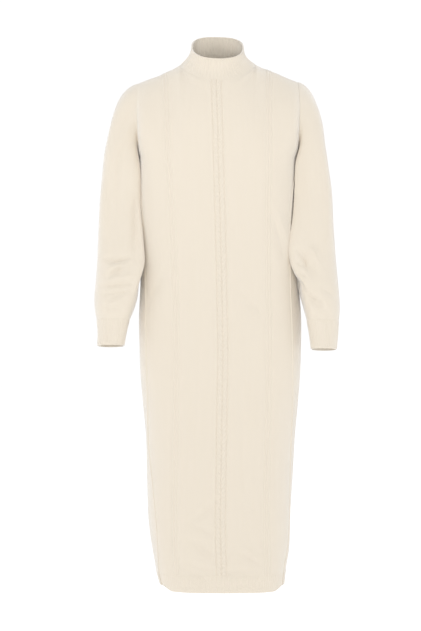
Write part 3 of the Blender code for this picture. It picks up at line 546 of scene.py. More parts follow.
def soften_yoke(points):
    """Takes out the crease below the neck's ends: each row's places are averaged across the row."""
    for row in range(LOW_ROWS - YOKE_ROWS, TRUNK_ROWS - 1):
        from_top = (TRUNK_ROWS - 1 - row) / HIGH_ROWS
        spread = YOKE_SPREAD * min(1.0, YOKE_LEAST + from_top / YOKE_TOP)
        x = points[row, :, 0]
        weights = np.exp(-(((x[:, None] - x[None]) / spread) ** 2) / 2) * np.abs(np.gradient(x))[None]
        smooth = weights @ points[row, :, 1:] / weights.sum(axis=1)[:, None]
        strength = ease((row - LOW_ROWS + YOKE_ROWS) / YOKE_ROWS) * ease(from_top / YOKE_END)
        strength = strength * ease((YOKE_EDGE[1] - np.abs(x)) / (YOKE_EDGE[1] - YOKE_EDGE[0]))
        points[row, :, 1:] = mix(points[row, :, 1:], smooth, strength[:, None] * YOKE_SHARES)
    return points


UNDERARM_REACH, UNDERARM_POWER = 18, 0.7  # rows that are averaged, and how soon the rounding comes in
UNDERARM_EDGE = (0.002, 0.012)  # how far from the armhole the rounding starts, and over what width


def soften_underarm(points):
    """Rounds the bend that the columns beside the armholes make at the underarm."""
    reach = UNDERARM_REACH
    rows = slice(LOW_ROWS - 3 * reach, LOW_ROWS + 3 * reach)
    weights = np.exp(-((np.arange(-2 * reach, 2 * reach + 1) / reach) ** 2))
    window = points[rows.start - 2 * reach : rows.stop + 2 * reach, :, 1]
    smooth = np.array([np.convolve(column, weights / weights.sum(), mode="valid") for column in window.T]).T
    x = np.abs(points[LOW_ROWS, :, 0])
    inside = ease((np.max(x) - x - UNDERARM_EDGE[0]) / UNDERARM_EDGE[1])
    strength = np.sin(math.pi * np.linspace(0, 1, len(smooth)))[:, None] ** UNDERARM_POWER * inside
    points[rows, :, 1] = mix(points[rows, :, 1], smooth, strength)
    return points


def shoulder_normals(x):
    step, away = 0.003, np.abs(x)
    rise = (shoulder_height(x, away + step) - shoulder_height(x, away - step)) / (2 * step)
    return unit(np.stack([-rise * np.sign(x), 0 * x, 1 + 0 * x], axis=-1))


def neck_normals(points):
    x, y = points[:, 0] / NECK_X, (points[:, 1] - NECK_Y) / NECK_FRONT
    away = unit(np.stack([x, y, 0 * x], axis=1))
    rise = np.radians(mix(*NECK_TURN, away[:, :1] ** 2))
    return away * np.cos(rise) + UP * np.sin(rise)


def top_normals(points):
    away = np.abs(points[:, :1])
    at_neck, on_shoulder = neck_normals(points), shoulder_normals(points[:, 0])
    corner = unit(at_neck + on_shoulder)
    normals = np.where(away < NECK_X - 1e-6, at_neck, np.where(away < NECK_X + 1e-6, corner, on_shoulder))
    return unit(normals)


BLEND_ROWS = 12  # rows over which a panel's normals turn to those of the seam above


def trunk_grids():
    """Points and normals of the front and the back, which share their normals along the side seams."""
    front, back = (soften_yoke(soften_underarm(panel(face))) for face in ("front", "back"))
    front_normals, back_normals = grid_normals(front), grid_normals(back)
    low = slice(LOW_ROWS + 1)
    for in_front, behind in ((-1, 0), (0, -1)):
        mean = unit(front_normals[low, in_front] + back_normals[low, behind])
        front_normals[low, in_front] = back_normals[low, behind] = mean
    for points, normals in ((front, front_normals), (back, back_normals)):
        normals[0] = level(normals[0])
        normals[-1] = top_normals(points[-1])
        for k in range(1, BLEND_ROWS):
            normals[-1 - k] = unit(mix(normals[-1], normals[-1 - k], k / BLEND_ROWS))
    return front, front_normals, back, back_normals


def open_shoulder_seam(points):
    on_shoulder = np.abs(points[-1][:, 0]) > NECK_X - 1e-6
    points[-1] += unit(points[-2] - points[-1]) * (SEAM_GAP / 2) * on_shoulder[:, None]


# ---- folds

# A fold, in millimetres: x and z of its start and its end, its bow sideways, its half-width, and how far it
# stands out (or sinks, below zero). On a sleeve x counts outwards from the middle.
FOLDS = {
    ("right", "front"): (
        (178, -300, 181, -430, 0, 10, -5),
        (234, -438.5, 190.5, -428, 3, 5.5, -4.2),
        (240, -455, 195, -437, 0, 8, 2.6),
        (234, -471, 197, -443, -2, 5.5, -3.4),
        (251, -430, 229, -434, 0, 6, -2),
        (243, -480, 190, -468, 0, 7.5, 2.2),
        (249, -490, 186, -484, 2, 5.5, -3.4),
        (247, -508, 184, -503, -1, 5, -2.8),
        (238, -520.5, 205.6, -508, 0, 5, -2.4),
        (252, -535, 214, -541, 0, 5, -1.8),
        (206, -180, 216, -395, 6, 13, -2.2),
        (238, -240, 244, -410, -4, 12, -1.4),
    ),
    ("left", "front"): (
        (174, -415, 196, -456, 2, 5.5, -4.2),
        (196, -397.5, 222, -449, 0, 9, 3.4),
        (187, -424, 206, -472, -2, 5, -2.2),
        (166, -440, 188, -448, 0, 4.5, -2),
        (166, -457, 190, -471, 0, 4.5, -2.2),
        (166, -471, 183, -499, 0, 5.5, -3),
        (183, -503, 230.5, -538, 2, 5.5, -3.6),
        (194, -516, 230.5, -546, -1, 4.5, -2.2),
        (222, -492, 250, -512, 0, 7, -2),
        (216, -150, 228, -360, 4, 13, -2),
        (196, -235, 206, -380, 0, 11, 1.6),
    ),
    ("left", "back"): (
        (236, -430, 186, -452, 3, 7, -4),
        (240, -446, 196, -469, 0, 8, 2),
        (226, -500, 190, -486, -2, 6, -3.4),
        (244, -517, 196, -511, 0, 5.5, -2.4),
        (212, -190, 219, -372, 5, 14, -2.2),
        (238, -290, 232, -405, 0, 11, -1.4),
    ),
    ("right", "back"): (
        (240, -442, 192, -430, 2, 7, -4),
        (236, -465, 190, -447, -2, 6, -2.6),
        (216, -486, 188, -500, 0, 6, -3.4),
        (250, -509, 205, -523, 2, 5.5, -2.6),
        (222, -170, 213, -350, -5, 14, -2.4),
    ),
    ("body", "front"): (
        (105, -315, 141, -428.5, 4, 9, -2),
        (122, -320, 156, -420, 3, 10, 1.4),
        (74.5, -521, 96, -559, 0, 9, -1.5),
        (47, -504, 85, -542, -2, 9, -1.2),
        (-112, -452, -150, -520, 0, 11, -1.4),
        (6, -943.5, -65, -1001, 3, 6.5, -1.7),
        (-54, -1004, -9, -1027, 0, 6.5, -1.7),
        (-56, -1036, -5, -1081, 3, 8.5, -2.4),
        (-69, -1096, -22, -1124, 0, 7.5, -1.8),
        (-61, -1086, -7, -1104, -2, 7, -1.4),
        (14, -1106, 57, -1104, 2, 7, -1.6),
        (51, -1064, 83, -1087, 0, 5, -1.8),
        (57, -1054, 89, -1078, 0, 6.5, 1.2),
        (57, -961, 79, -971, 0, 7, -1),
        (-84, -735, -81, -1079, 3, 12, 1.5),
        (128, -735, 122, -1079, -3, 12, 1.5),
        (52, -700, 45, -930, 4, 16, -1),
        (-40, -620, -46, -850, -4, 17, -1),
    ),
    ("body", "back"): (
        (-62, -150, -20, -182, 4, 12, -1.4),
        (74, -128, 118, -205, -4, 13, -1.8),
        (-146, -330, -98, -418, 4, 11, -2),
        (138, -352, 90, -430, -3, 10, -1.8),
        (128, -452, 74, -474, 3, 9, -1.6),
        (-118, -470, -52, -482, -3, 10, -1.8),
        (-86, -500, -20, -509, 0, 10, -1.2),
        (60, -690, 52, -960, 6, 17, -1.8),
        (-52, -720, -63, -1020, -5, 17, -2),
        (6, -780, 2, -1060, 4, 15, 1.4),
        (72, -1010, 16, -1052, 3, 10, -2),
        (-30, -1060, -88, -1086, 0, 9, -1.8),
        (84, -1082, 30, -1101, -2, 8, -1.6),
        (-12, -1100, 22, -1106, 0, 7, -1.2),
    ),
}
FOLD_END = 0.35  # how much of a fold's rise is left at its ends
FOLD_POWER = 1.4  # squareness of its section
FOLD_SCALE = 1.9  # what all the rises are multiplied by


def fold_rise(places, folds):
    """How far folds move a surface out at places (x, z): soft troughs and ridges along bowed lines."""
    total = np.zeros(places.shape[:-1])
    for row in folds:
        x0, z0, x1, z1, bow, spread, rise = np.array(row) / 1000
        start, line = np.array([x0, z0]), np.array([x1 - x0, z1 - z0])
        reach = np.linalg.norm(line)
        ahead, aside = line / reach, np.array([-line[1], line[0]]) / reach
        offset = places - start
        along = np.clip(offset @ ahead / reach, 0, 1)
        over = offset @ ahead - along * reach
        away = offset @ aside - 4 * bow * along * (1 - along)
        distance = np.hypot(over, away) / spread
        swell = mix(FOLD_END, 1.0, np.sin(math.pi * along))
        total += FOLD_SCALE * rise * swell * np.exp(-(distance**FOLD_POWER))
    return total


WAVES = (  # waves to the metre along X, Y and Z, phase, rise
    (7.0, 2.0, 1.2, 0.4, 0.0007),
    (-11.0, 4.0, 2.1, 2.1, 0.0005),
    (4.5, -6.0, -3.3, 4.0, 0.0006),
    (16.0, 7.0, 3.0, 1.3, 0.0003),
    (-3.0, 9.0, 5.5, 5.2, 0.0004),
)


def wobble(points):
    """The cloth's slight unevenness, the same for every piece that lies at a place."""
    total = np.zeros(points.shape[:-1])
    for *waves, phase, rise in WAVES:
        total += rise * np.sin(2 * math.pi * (points @ np.array(waves)) + phase)
    return total


# ---- front, back and hem bands


def rope_height(across, phase):
    """Relief of a two-strand rope. across is 0 to 1 over its width, and phase grows by 1 a repeat."""
    phase = phase % 1.0
    crossing = np.sin(math.pi * phase)
    place = mix(*STRAND_PLACES, ease(phase))
    over = strand(across - place) * mix(CABLE_STRAND, CABLE_CROWN, crossing)
    under = strand(1 - across - place) * CABLE_STRAND * (1 - CROSSING_SINK * crossing)
    edge = np.minimum(across, 1 - across) / GROOVE_HALF
    return np.maximum(over, under) - GROOVE_DEPTH * np.exp(-(edge**2))


def strand(offset):
    return np.sqrt(np.maximum(0.0, 1 - (offset / STRAND_HALF) ** 2))


def front_relief():
    """Rise of the knit over the front's grid."""
    rows = np.arange(TRUNK_ROWS)[:, None]
    rope = np.concatenate([shares(ROPE_STEPS), [1.0]])[None]
    ropes = rope_height(rope, rows / (2 * FINE))
    flank_at = np.arange(1, FLANK_STEPS + 1) / FLANK_STEPS
    from_rope = flank_at * FLANK_WIDTH / (GROOVE_HALF * CABLE_WIDTH)
    flank = FLANK_RISE * np.sin(math.pi * flank_at) ** 2 - GROOVE_DEPTH * np.exp(-(from_rope**2))
    plain = np.zeros(sum(PLAIN_STEPS) - 1)
    pair_at = np.linspace(-PIN_HALF, PIN_HALF, PAIR_STEPS + 1)
    middle, swing = (PIN_RIB_RISE - PIN_RIB_DEPTH) / 2, (PIN_RIB_RISE + PIN_RIB_DEPTH) / 2
    pair = (middle - swing * np.cos(math.pi * pair_at)) * ease((PIN_HALF - np.abs(pair_at)) / PIN_FADE)
    welt_at = np.clip((SIDE_SHARES - WELT_START) / (1 - WELT_START), 0, 1)
    half = np.concatenate([flank, plain, pair, WELT_RISE * np.sin(math.pi * welt_at)])
    half = np.concatenate([ropes, np.broadcast_to(half, (TRUNK_ROWS, len(half)))], axis=1)
    half[LOW_ROWS + 1 :, -len(welt_at) :] *= ease(1 - np.arange(HIGH_ROWS) / (2 * FINE))[:, None]
    return np.concatenate([half[:, :0:-1], half], axis=1)[..., None]


def side_mask(columns, fade):
    """0 at a panel's sides and 1 beyond so many columns from them."""
    return ease(np.minimum(np.arange(columns), np.arange(columns)[::-1]) / fade)[None]


PANEL_FADE, BAND_FADE = 6, 30  # columns over which the folds come in at a panel's and at a band's sides


def panel_drape(points, folds):
    """How far folds and unevenness move a panel's cloth out. Both end below the seams above."""
    drape = wobble(points) + fold_rise(points[..., [0, 2]], folds) * side_mask(points.shape[1], PANEL_FADE)
    drape[-BLEND_ROWS:] *= ease(np.arange(BLEND_ROWS)[::-1] / BLEND_ROWS)[:, None]
    return drape


def body(face, points, normals, relief=0.0, fine=()):
    """The front or the back, from its points, with the knit's relief on it."""
    base = points + normals * panel_drape(points, FOLDS["body", face])[..., None]
    outer, inner = base + normals * relief, base - normals * JERSEY
    knit = knit_coordinates(points, points.shape[1] // 2)
    return Shell(face + "_body_knit", outer, inner, knit, coarse=TRUNK_COARSE, fine_columns=fine).object


def rib_wave(columns):
    """0 in the valleys and 1 on the ribs, with round ribs and narrow valleys."""
    place = (np.arange(columns) / RIB_STEPS) % 1.0
    return 1 - np.abs(2 * place - 1) ** RIB_POWER


def ribbed_band(name, base, normals, knit, levels, rise, fades, wrap=False):
    """A band's shell. fades are the shares of its height over which its ribs fade below and above, and over
    which its edge is rounded. levels are its rows' shares of the height."""
    low, high, edge = fades
    ribs = rise * mix(RIB_LEAST, 1.0, ease(np.minimum(levels / low, (1 - levels) / high)))
    rounding = EDGE_ROUNDING * (1 - ease(levels / edge))
    relief = np.outer(ribs, rib_wave(base.shape[1])) - rounding[:, None]
    outer, inner = base + normals * relief[..., None], base - normals * (RIB_KNIT - rounding)[:, None, None]
    return Shell(name + "_knit", outer, inner, knit, wrap=wrap, pick=(2, 4)).object


HEM_ROWS = np.array([0.0, 0.01, 0.03, 0.07, *np.linspace(0.12, 0.88, 12), 0.93, 0.97, 1.0])
HEM_FADES = (0.07, 0.07, 0.07)
CORNER_LIFT = 0.0078  # how far a hem's lower corners are drawn up beside the vents
CORNER_REACH = {"front": 0.034, "back": 0.065}
LINE_STEPS = 899  # in a section's line before ribs divide it


def lift_corners(points, face):
    across = lengths_along(points)
    from_end = np.minimum(across, across[:, -1:] - across)
    points[..., 2] += CORNER_LIFT * (1 - HEM_ROWS)[:, None] * (1 - ease(from_end / CORNER_REACH[face]))
    return points


def hem_band(face):
    heights = mix(HEM_Z, BAND_TOP_Z, HEM_ROWS)
    ends = [edge_angle(heights, side, face) for side in ((-1, 1) if face == "front" else (1, -1))]
    lines = [trunk_points(z, np.linspace(a, b, LINE_STEPS + 1)) for z, a, b in zip(heights, *ends)]
    columns = RIB_STEPS * round(lengths_along(lines[-1])[-1] / HEM_RIB_PITCH)
    points = lift_corners(np.array([resample(line, columns) for line in lines]), face)
    normals = level(grid_normals(points))
    folds = fold_rise(points[..., [0, 2]], FOLDS["body", face]) * side_mask(columns + 1, BAND_FADE)
    base = points + normals * (wobble(points) + folds)[..., None]
    knit = knit_coordinates(points)
    return ribbed_band("hem_" + face, base, normals, knit, HEM_ROWS, HEM_RIB_RISE, HEM_FADES)


# ---- collar


def rim_points(angle):
    power = np.where(np.cos(angle) > 0, RIM_POWER_FRONT, RIM_POWER)
    x = RIM_CENTRE + RIM_X * signed_power(np.sin(angle), 2 / power)
    y = RIM_Y - RIM_DEPTH * signed_power(np.cos(angle), 2 / power)
    return np.stack([x, y, RIM_Z + RIM_SLOPE * (y - RIM_Y) + RIM_TILT * x], axis=-1)


RIM_START = 0.93  # share of the collar's height where the rolled rim begins
RIM_LEVELS = (0.885, 0.905, 0.92, RIM_START, 0.94, 0.955, 0.97, 0.98, 0.988, 0.995, 1.0)
NECK_ROWS = np.array([0.0, 0.015, 0.035, *np.linspace(0.06, 0.86, 31), *RIM_LEVELS])
NECK_BLEND = 6  # rows over which the collar's normals leave those of the seam
NECK_FADE, NECK_LEAST = 0.06, 0.1  # share of the height over which the ribs rise, and what they rise from
RIM_FADE, RIM_RIBS = 0.02, 0.15  # the share over which the rim comes in, and how much of it the ribs make
RIM_DIP, RIM_DIP_HALF = 0.0005, 0.012  # the groove below the rim


def neck_form(front, back):
    """Points and normals of the collar, from the neck seam up to its rim."""
    loop = np.concatenate([front[-1], back[-1][1:]])
    loop = loop[np.abs(loop[:, 0]) < NECK_X + 1e-6]
    columns = RIB_STEPS * NECK_RIBS
    start = resample(loop, columns)[:-1]
    start_normals = unit(resample(loop, columns, top_normals(loop))[:-1])
    angle = np.arctan2(start[:, 0] / NECK_X, -(start[:, 1] - NECK_Y) / NECK_FRONT)
    end = rim_points(angle)
    inwards = unit(np.stack([-start[:, 0], NECK_Y - start[:, 1], 0 * angle], axis=1))
    side_lean = np.where(start[:, 0] > 0, NECK_LEAN["left"], NECK_LEAN["right"])
    lean = mix(NECK_LEAN["middle"], side_lean, np.abs(np.sin(angle)))[:, None]
    span = length(end - start)
    low, high = (inwards * lean + UP) * span, (inwards * RIM_LEAN + UP) * span
    points = hermite(start, low, end, high, NECK_ROWS[:, None, None])
    normals = grid_normals(points, wrap=True)
    normals[0] = start_normals
    blend = (np.arange(1, NECK_BLEND) / NECK_BLEND)[:, None, None]
    normals[1:NECK_BLEND] = unit(mix(start_normals, normals[1:NECK_BLEND], blend))
    return points, normals


def neck_rib(front, back):
    """The collar, with its rolled rim. Its ribs show inside as well."""
    points, normals = neck_form(front, back)
    ribs = rib_wave(points.shape[1])
    in_rim = ease((NECK_ROWS - RIM_START) / RIM_FADE)
    rim_half = (1 - RIM_START) / 2
    roll = np.sqrt(np.maximum(0.0, 1 - ((NECK_ROWS - RIM_START - rim_half) / rim_half) ** 2))
    ribbed = mix(NECK_LEAST, 1.0, ease(NECK_ROWS / NECK_FADE)) * (1 - in_rim)
    rim = np.outer(in_rim * mix(RIB_LEAST, 1.0, roll), mix(1 - RIM_RIBS, 1.0, ribs))
    dip = RIM_DIP * np.exp(-(((NECK_ROWS - RIM_START) / RIM_DIP_HALF) ** 2))[:, None]
    outside = NECK_RIB_RISE * (np.outer(ribbed, ribs) + rim) - dip
    inside = NECK_RIB_RISE * (np.outer(ribbed, 1 - ribs) + (in_rim * roll)[:, None] / 2)
    outer, inner = points + normals * outside[..., None], points - normals * (RIB_KNIT + inside)[..., None]
    return Shell("neck_rib_knit", outer, inner, knit_coordinates(points), wrap=True, pick=(1, 1)).object


# ---- sleeves and cuffs


def keep_clear(points, side, clearance):
    """The points, moved out of the trunk's way where they hang beside it."""
    x, y, z = np.moveaxis(points, -1, 0)
    limit = trunk_half_width(y, z, side) + clearance
    return np.stack([np.where(z < UNDERARM_Z, side * np.maximum(side * x, limit), x), y, z], axis=-1)


INNER_POWER = 4.2  # squareness of a sleeve's quarter that lies against the front
PRESS = {"left": (0.027, 0.15), "right": (0.024, 0.10)}  # how far it is pressed on, and the release's height
PRESS_END_Z = -0.53
PRESS_TURN = 0.3  # share of a ring that is pressed


def ring_points(table, z, turn, side):
    """Points of a sleeve's rings. turn is 0 next to the trunk, 0.25 in front, 0.5 outside and 0.75 behind."""
    tilt, inner, outer, centre_y, depth, pitch, yaw = (read(table, name, z) for name in RING_COLUMNS[1:])
    angle = 2 * math.pi * turn
    across = np.sqrt(((outer - inner) / 2) ** 2 - (yaw * depth) ** 2)
    power = np.where((np.cos(angle) > 0) & (np.sin(angle) > 0), INNER_POWER, 2.0)
    inwards, forwards = signed_power(np.cos(angle), 2 / power), signed_power(np.sin(angle), 2 / power)
    x = (inner + outer) / 2 - across * inwards + yaw * depth * forwards
    y = centre_y - depth * forwards
    press, let_go = PRESS["left" if side > 0 else "right"]
    x = x - press * ease((z - PRESS_END_Z) / let_go) * np.sin(math.pi * np.clip(turn / PRESS_TURN, 0, 1))
    height = z - tilt * np.cos(angle) + pitch * (y - centre_y)
    return keep_clear(np.stack([side * x, y, height], axis=-1), side, SLEEVE_CLEARANCE)


def armhole(front, front_normals, back, back_normals, side):
    """The armhole, up its front and down its back: points, normals, ways into it and its columns' turns."""
    front_column, back_column = (-1, 0) if side > 0 else (0, -1)
    points, normals = (
        np.concatenate([of_front[LOW_ROWS:, front_column], of_back[-2:LOW_ROWS:-1, back_column]])
        for of_front, of_back in ((front, back), (front_normals, back_normals))
    )
    pick = np.linspace(0, len(points), 2 * SLEEVE_STEPS + 1)[:-1].round().astype(int)
    points, normals = points[pick], normals[pick]
    along = np.roll(points, -1, axis=0) - np.roll(points, 1, axis=0)
    return points, normals, unit(side * np.cross(along, normals)), pick / (2 * HIGH_ROWS)


FLUSH = {"left": 0.4, "right": 1.0}  # how smoothly a sleeve's cap leaves the body
FLUSH_TOP, FLUSH_RISE, FLUSH_END = 0.12, 0.3, 0.10  # shares of the way down: its start, rise and end
FLUSH_LEAST = 0.5  # how far a flush cap leads out of the armhole at least
NORMALS_ALIKE = 4  # how soon a cap's first normals take the body's
ARMHOLE_GAP = {"left": 0.0005, "right": 0.0}  # the gap of a visible seam line
GAP_RISE = 0.3  # how far a cap starts off the body, as a share of the way out of the armhole
WRIST_ROWS = 6  # rows over which a sleeve's folds end above its cuff


def cap_points(name, side, armhole_parts):
    """A sleeve's cap, from the armhole out and down to the sleeve's first ring."""
    at_armhole, body_normals, inwards, turn = armhole_parts
    low = np.abs(1 - 2 * turn)
    slope = np.radians(mix(CAP_TOP_ANGLE[name], CAP_UNDERARM_ANGLE, low))
    sweep = -CAP_SWEEP * np.sin(2 * math.pi * turn)
    leave = unit(np.stack([side * np.cos(slope), sweep, -np.sin(slope)], axis=1))
    flush = FLUSH[name] * (ease((1.0 - low) / FLUSH_END) * ease((low - FLUSH_TOP) / FLUSH_RISE))[:, None]
    leave = unit(leave - flush * dot(leave, body_normals) * body_normals)
    leave = unit(leave + flush * np.maximum(0.0, FLUSH_LEAST - dot(leave, inwards)) * inwards)
    start = at_armhole + unit(inwards + leave + GAP_RISE * body_normals) * ARMHOLE_GAP[name]
    top = SLEEVE_RINGS[name][0][0]
    end, beyond = (ring_points(SLEEVES[name], z, turn, side) for z in (top, top - RING_STEP))
    arrive = unit(beyond - end + np.outer(1 - low, (side * CAP_FLARE, 0, 0)))
    span = length(end - start) * CAP_PULL_SHARE
    pull_out, pull_down = np.minimum(CAP_PULL_OUT, span), np.minimum(CAP_PULL_DOWN, span)
    t = np.linspace(0, 1, CAP_ROWS + 1)[:, None, None]
    cap = hermite(start, leave * pull_out, end, arrive * pull_down, t)
    cap[1:] = keep_clear(cap, side, SLEEVE_CLEARANCE * np.minimum(1.0, 2 * t[..., 0]))[1:]
    return cap


def sleeve(name, side, armhole_parts):
    table, (_, body_normals, _, turn) = SLEEVES[name], armhole_parts
    heights = np.linspace(SLEEVE_RINGS[name][0][0], SLEEVE_RINGS[name][-1][0], SLEEVE_ROWS + 1)[1:, None]
    tube = ring_points(table, heights, turn[None], side)
    points = np.concatenate([cap_points(name, side, armhole_parts), tube])
    normals = -side * grid_normals(points, wrap=True)
    alike = np.clip(NORMALS_ALIKE * dot(normals[0], body_normals), 0, 1)
    normals[0] = unit(mix(normals[0], body_normals, alike))
    in_front = points[..., 1] < read(table, "centre_y", points[..., 2])
    places = np.stack([np.abs(points[..., 0]), points[..., 2]], axis=-1)
    rise = np.where(in_front, *(fold_rise(places, FOLDS[name, face]) for face in ("front", "back")))
    row = np.arange(len(points))
    fade = ease(row / CAP_ROWS) * ease((row[-1] - row) / WRIST_ROWS)
    outer = points + normals * (rise * fade[:, None] + wobble(points))[..., None]
    outer[CAP_ROWS // 2 :] = keep_clear(outer[CAP_ROWS // 2 :], side, SLEEVE_CLEARANCE)
    knit = knit_coordinates(points, SLEEVE_STEPS)
    return Shell(f"sleeve_{name}_knit", outer, outer - normals * JERSEY, knit, wrap=True).object


CUFF_LEVELS = np.array([0.0, 0.006, 0.016, 0.03, *np.linspace(0.05, 0.94, 20), 0.97, 1.0])
CUFF_FADES = (0.05, 0.0357, 0.03)


def cuff(name, side):
    table, columns = CUFFS[name], RIB_STEPS * CUFF_RIBS
    heights = mix(table["z"][0], table["z"][-1], CUFF_LEVELS)[:, None]
    points = ring_points(table, heights, shares(columns)[None], side)
    normals = side * grid_normals(points, wrap=True)
    base = points + normals * wobble(points)[..., None]
    knit = knit_coordinates(base)
    return ribbed_band("cuff_" + name, base, normals, knit, CUFF_LEVELS, CUFF_RIB_RISE, CUFF_FADES, wrap=True)


# ---- materials


class Nodes:
    """Short ways to add and join nodes. An input that is given as a socket is linked to it."""

    def __init__(self, holder):
        holder.use_nodes = True
        self.tree = holder.node_tree

    def feed(self, socket, value):
        if isinstance(value, bpy.types.NodeSocket):
            self.tree.links.new(value, socket)
        else:
            socket.default_value = value

    def fill(self, node, inputs):
        for name, value in inputs.items():
            self.feed(node.inputs[name], value)

    def add(self, kind, inputs={}, **values):
        node = self.tree.nodes.new(kind)
        for key, value in values.items():
            setattr(node, key, value)
        self.fill(node, inputs)
        return node

    def math(self, operation, *inputs):
        node = self.add("ShaderNodeMath", operation=operation)
        for socket, value in zip(node.inputs, inputs):
            self.feed(socket, value)
        return node.outputs[0]


WALE = 0.0015  # a column of stitches
COURSE = 0.0012  # a row of them
STITCH_DEPTH, STITCH_SWELL, STITCH_LEAN = 0.0003, 0.25, 1.5
YARN = (0.768, 0.698, 0.596, 1.0)
# the streaks' deeper yarn, and also the painted shade in the stitches' valleys
DEEP_YARN_AND_SHADE = (0.72, 0.63, 0.49, 1.0)
SHADE_SPAN, SHADE_LEAST = 0.45, 0.62  # how much of YARN the stitches' relief and the streaks add (so the stitches' valleys get painted shade), and the least share of it
STREAKS, STREAK_SHARE = (160.0, 7.0, 1.0), 0.35  # streaks to the metre, and their share of the colour's variation; the rest is painted shade from the stitches' relief
WOOL = {"Roughness": 0.9, "Sheen Weight": 1.0, "Sheen Roughness": 0.45, "Specular IOR Level": 0.2}


def knit_material(name):
    """Columns of leaning stitches with painted shade in their valleys, and streaks of lighter and deeper
    yarn, with wool's sheen.
    """
    material = bpy.data.materials.new(name)
    nodes = Nodes(material)
    place = nodes.add("ShaderNodeUVMap", uv_map="knit").outputs[0]
    across, up = nodes.add("ShaderNodeSeparateXYZ", {"Vector": place}).outputs[:2]
    wale = nodes.math("PINGPONG", nodes.math("DIVIDE", across, WALE), 0.5)
    leg = nodes.math("ABSOLUTE", nodes.math("SUBTRACT", nodes.math("MULTIPLY", wale, 4.0), 1.0))
    leg = nodes.math("SUBTRACT", 1.0, nodes.math("MULTIPLY", leg, leg))
    lean = nodes.math("MULTIPLY_ADD", wale, STITCH_LEAN, nodes.math("DIVIDE", up, COURSE))
    stitch = nodes.math("COSINE", nodes.math("MULTIPLY", lean, 2 * math.pi))
    height = nodes.math("MULTIPLY", leg, nodes.math("MULTIPLY_ADD", stitch, STITCH_SWELL, 1 - STITCH_SWELL))
    stretched = nodes.add("ShaderNodeMapping", {"Vector": place, "Scale": STREAKS}).outputs[0]
    streak = nodes.add("ShaderNodeTexNoise", {"Vector": stretched, "Scale": 1.0, "Detail": 2.0}).outputs[0]
    # the stitches' relief darkens the colour in their valleys: painted shade
    stitches = nodes.math("MULTIPLY", height, 1 - STREAK_SHARE)
    depth = nodes.math("MULTIPLY_ADD", streak, STREAK_SHARE, stitches)
    # depth and shade: the yarn's random streaks plus painted shade from the stitches' relief
    shade = nodes.math("MULTIPLY_ADD", depth, SHADE_SPAN, SHADE_LEAST)
    colour = nodes.add("ShaderNodeMix", {"A": DEEP_YARN_AND_SHADE, "B": YARN, "Factor": shade}, data_type="RGBA")
    bump = nodes.add("ShaderNodeBump", {"Strength": 0.5, "Distance": STITCH_DEPTH, "Height": height})
    surface = {"Base Color": colour.outputs["Result"], "Normal": bump.outputs[0], **WOOL}
    nodes.fill(material.node_tree.nodes["Principled BSDF"], surface)
    return material


# ---- stage

CAMERA_PLACE = (-0.0167, -3.5, -0.554)
CAMERA_LENS = 89.857
FLOOR_Z = -1.42
FLOOR_HALF = 15.0
LIGHTS = (  # name, place, size, power
    ("key", (-0.6, -2.1, 1.5), 1.8, 19.0),
    ("fill", (1.9, -3.0, 0.8), 2.4, 7.0),
    ("left", (2.6, 0.6, 0.0), 2.0, 5.0),
    ("right", (-2.6, 0.6, 0.0), 2.0, 5.0),
)
LIGHTS_AIM = (0.0, 0.0, -0.4)
SKY, HORIZON = 0.73, 1.03  # brightness overhead and at eye level
SKY_FROM, SKY_TO = 0.2, 0.35  # heights between which it changes
WHITE, PALE = (1.0, 1.0, 1.0, 1.0), (0.8, 0.8, 0.8, 1.0)
FLOOR = {
    "Base Color": PALE, "Roughness": 1.0, "Specular IOR Level": 0.0,
    "Emission Color": WHITE, "Emission Strength": 0.5,
}


def studio_world():
    world = bpy.data.worlds.new("studio")
    nodes = Nodes(world)
    place = nodes.add("ShaderNodeTexCoord").outputs["Generated"]
    height = nodes.add("ShaderNodeSeparateXYZ", {"Vector": place}).outputs[2]
    rise = {"Value": height, "From Min": SKY_FROM, "From Max": SKY_TO, "To Min": HORIZON, "To Max": SKY}
    strength = nodes.add("ShaderNodeMapRange", rise, interpolation_type="SMOOTHSTEP").outputs[0]
    nodes.fill(world.node_tree.nodes["Background"], {"Color": WHITE, "Strength": strength})
    bpy.context.scene.world = world


def studio_floor():
    data, material = bpy.data.meshes.new("floor"), bpy.data.materials.new("floor")
    corners = ((-1, -1), (1, -1), (1, 1), (-1, 1))
    data.from_pydata([(x * FLOOR_HALF, y * FLOOR_HALF, FLOOR_Z) for x, y in corners], [], [(0, 1, 2, 3)])
    nodes = Nodes(material)
    nodes.fill(material.node_tree.nodes["Principled BSDF"], FLOOR)
    data.materials.append(material)
    add_object("floor", data)


def add_lights():
    for name, place, size, power in LIGHTS:
        data = bpy.data.lights.new(name, "AREA")
        data.shape, data.size, data.energy = "DISK", size, power
        light = add_object(name, data)
        light.location = place
        light.rotation_euler = (Vector(LIGHTS_AIM) - Vector(place)).to_track_quat("-Z", "Y").to_euler()


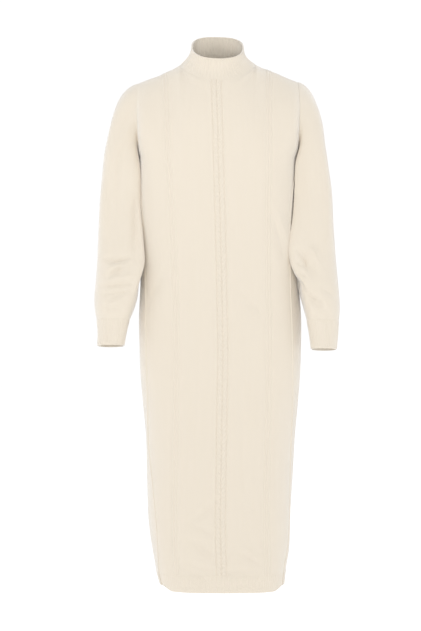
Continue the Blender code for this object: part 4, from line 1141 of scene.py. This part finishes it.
def stage():
    camera = add_object("camera", bpy.data.cameras.new("camera"))
    camera.location, camera.rotation_euler = CAMERA_PLACE, (math.pi / 2, 0, 0)
    camera.data.lens, camera.data.sensor_width = CAMERA_LENS, 36.0
    bpy.context.scene.camera = camera
    bpy.context.scene.view_settings.view_transform = "Standard"
    studio_world()
    studio_floor()
    add_lights()


# ---- the dress


# Each piece's slot, its cut's width (all round on a tube) and length, its flat area, how it is held, and what
# it hangs from.
CUTS = {
    "front_body": ("knit", (0.48, 1.13), 0.405, "hung", []),
    "back_body": ("knit", (0.645, 1.16), 0.615, "hung", []),
    "sleeve_left": ("knit", (0.43, 0.56), 0.152, "hung", ["front_body", "back_body"]),
    "sleeve_right": ("knit", (0.43, 0.56), 0.155, "hung", ["front_body", "back_body"]),
    "cuff_left": ("rib", (0.233, 0.063), 0.0137, "hung", ["sleeve_left"]),
    "cuff_right": ("rib", (0.239, 0.056), 0.0123, "hung", ["sleeve_right"]),
    "neck_rib": ("rib", (0.51, 0.06), 0.0235, "stretched", ["front_body", "back_body"]),
    "hem_front": ("rib", (0.306, 0.038), None, "hung", ["front_body"]),
    "hem_back": ("rib", (0.566, 0.038), None, "hung", ["back_body"]),
}


def main():
    front, front_normals, back, back_normals = trunk = trunk_grids()
    materials = {slot: knit_material("cream_" + slot) for slot in ("knit", "rib")}
    pieces = [neck_rib(front, back), hem_band("front"), hem_band("back")]
    for name, side in (("left", 1), ("right", -1)):
        pieces += [sleeve(name, side, armhole(*trunk, side)), cuff(name, side)]
    open_shoulder_seam(front)
    open_shoulder_seam(back)
    middle = front.shape[1] // 2
    rope_columns = range(middle - ROPE_STEPS, middle + ROPE_STEPS + 1)
    pieces.append(body("front", front, front_normals, front_relief(), rope_columns))
    pieces.append(body("back", back, back_normals))
    for piece in pieces:
        node = piece.name.removesuffix("_knit")
        slot, flat, area, held, rests_on = CUTS[node]
        piece.data.materials.append(materials[slot])
        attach(piece, "root")
        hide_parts(node)


main()
stage()
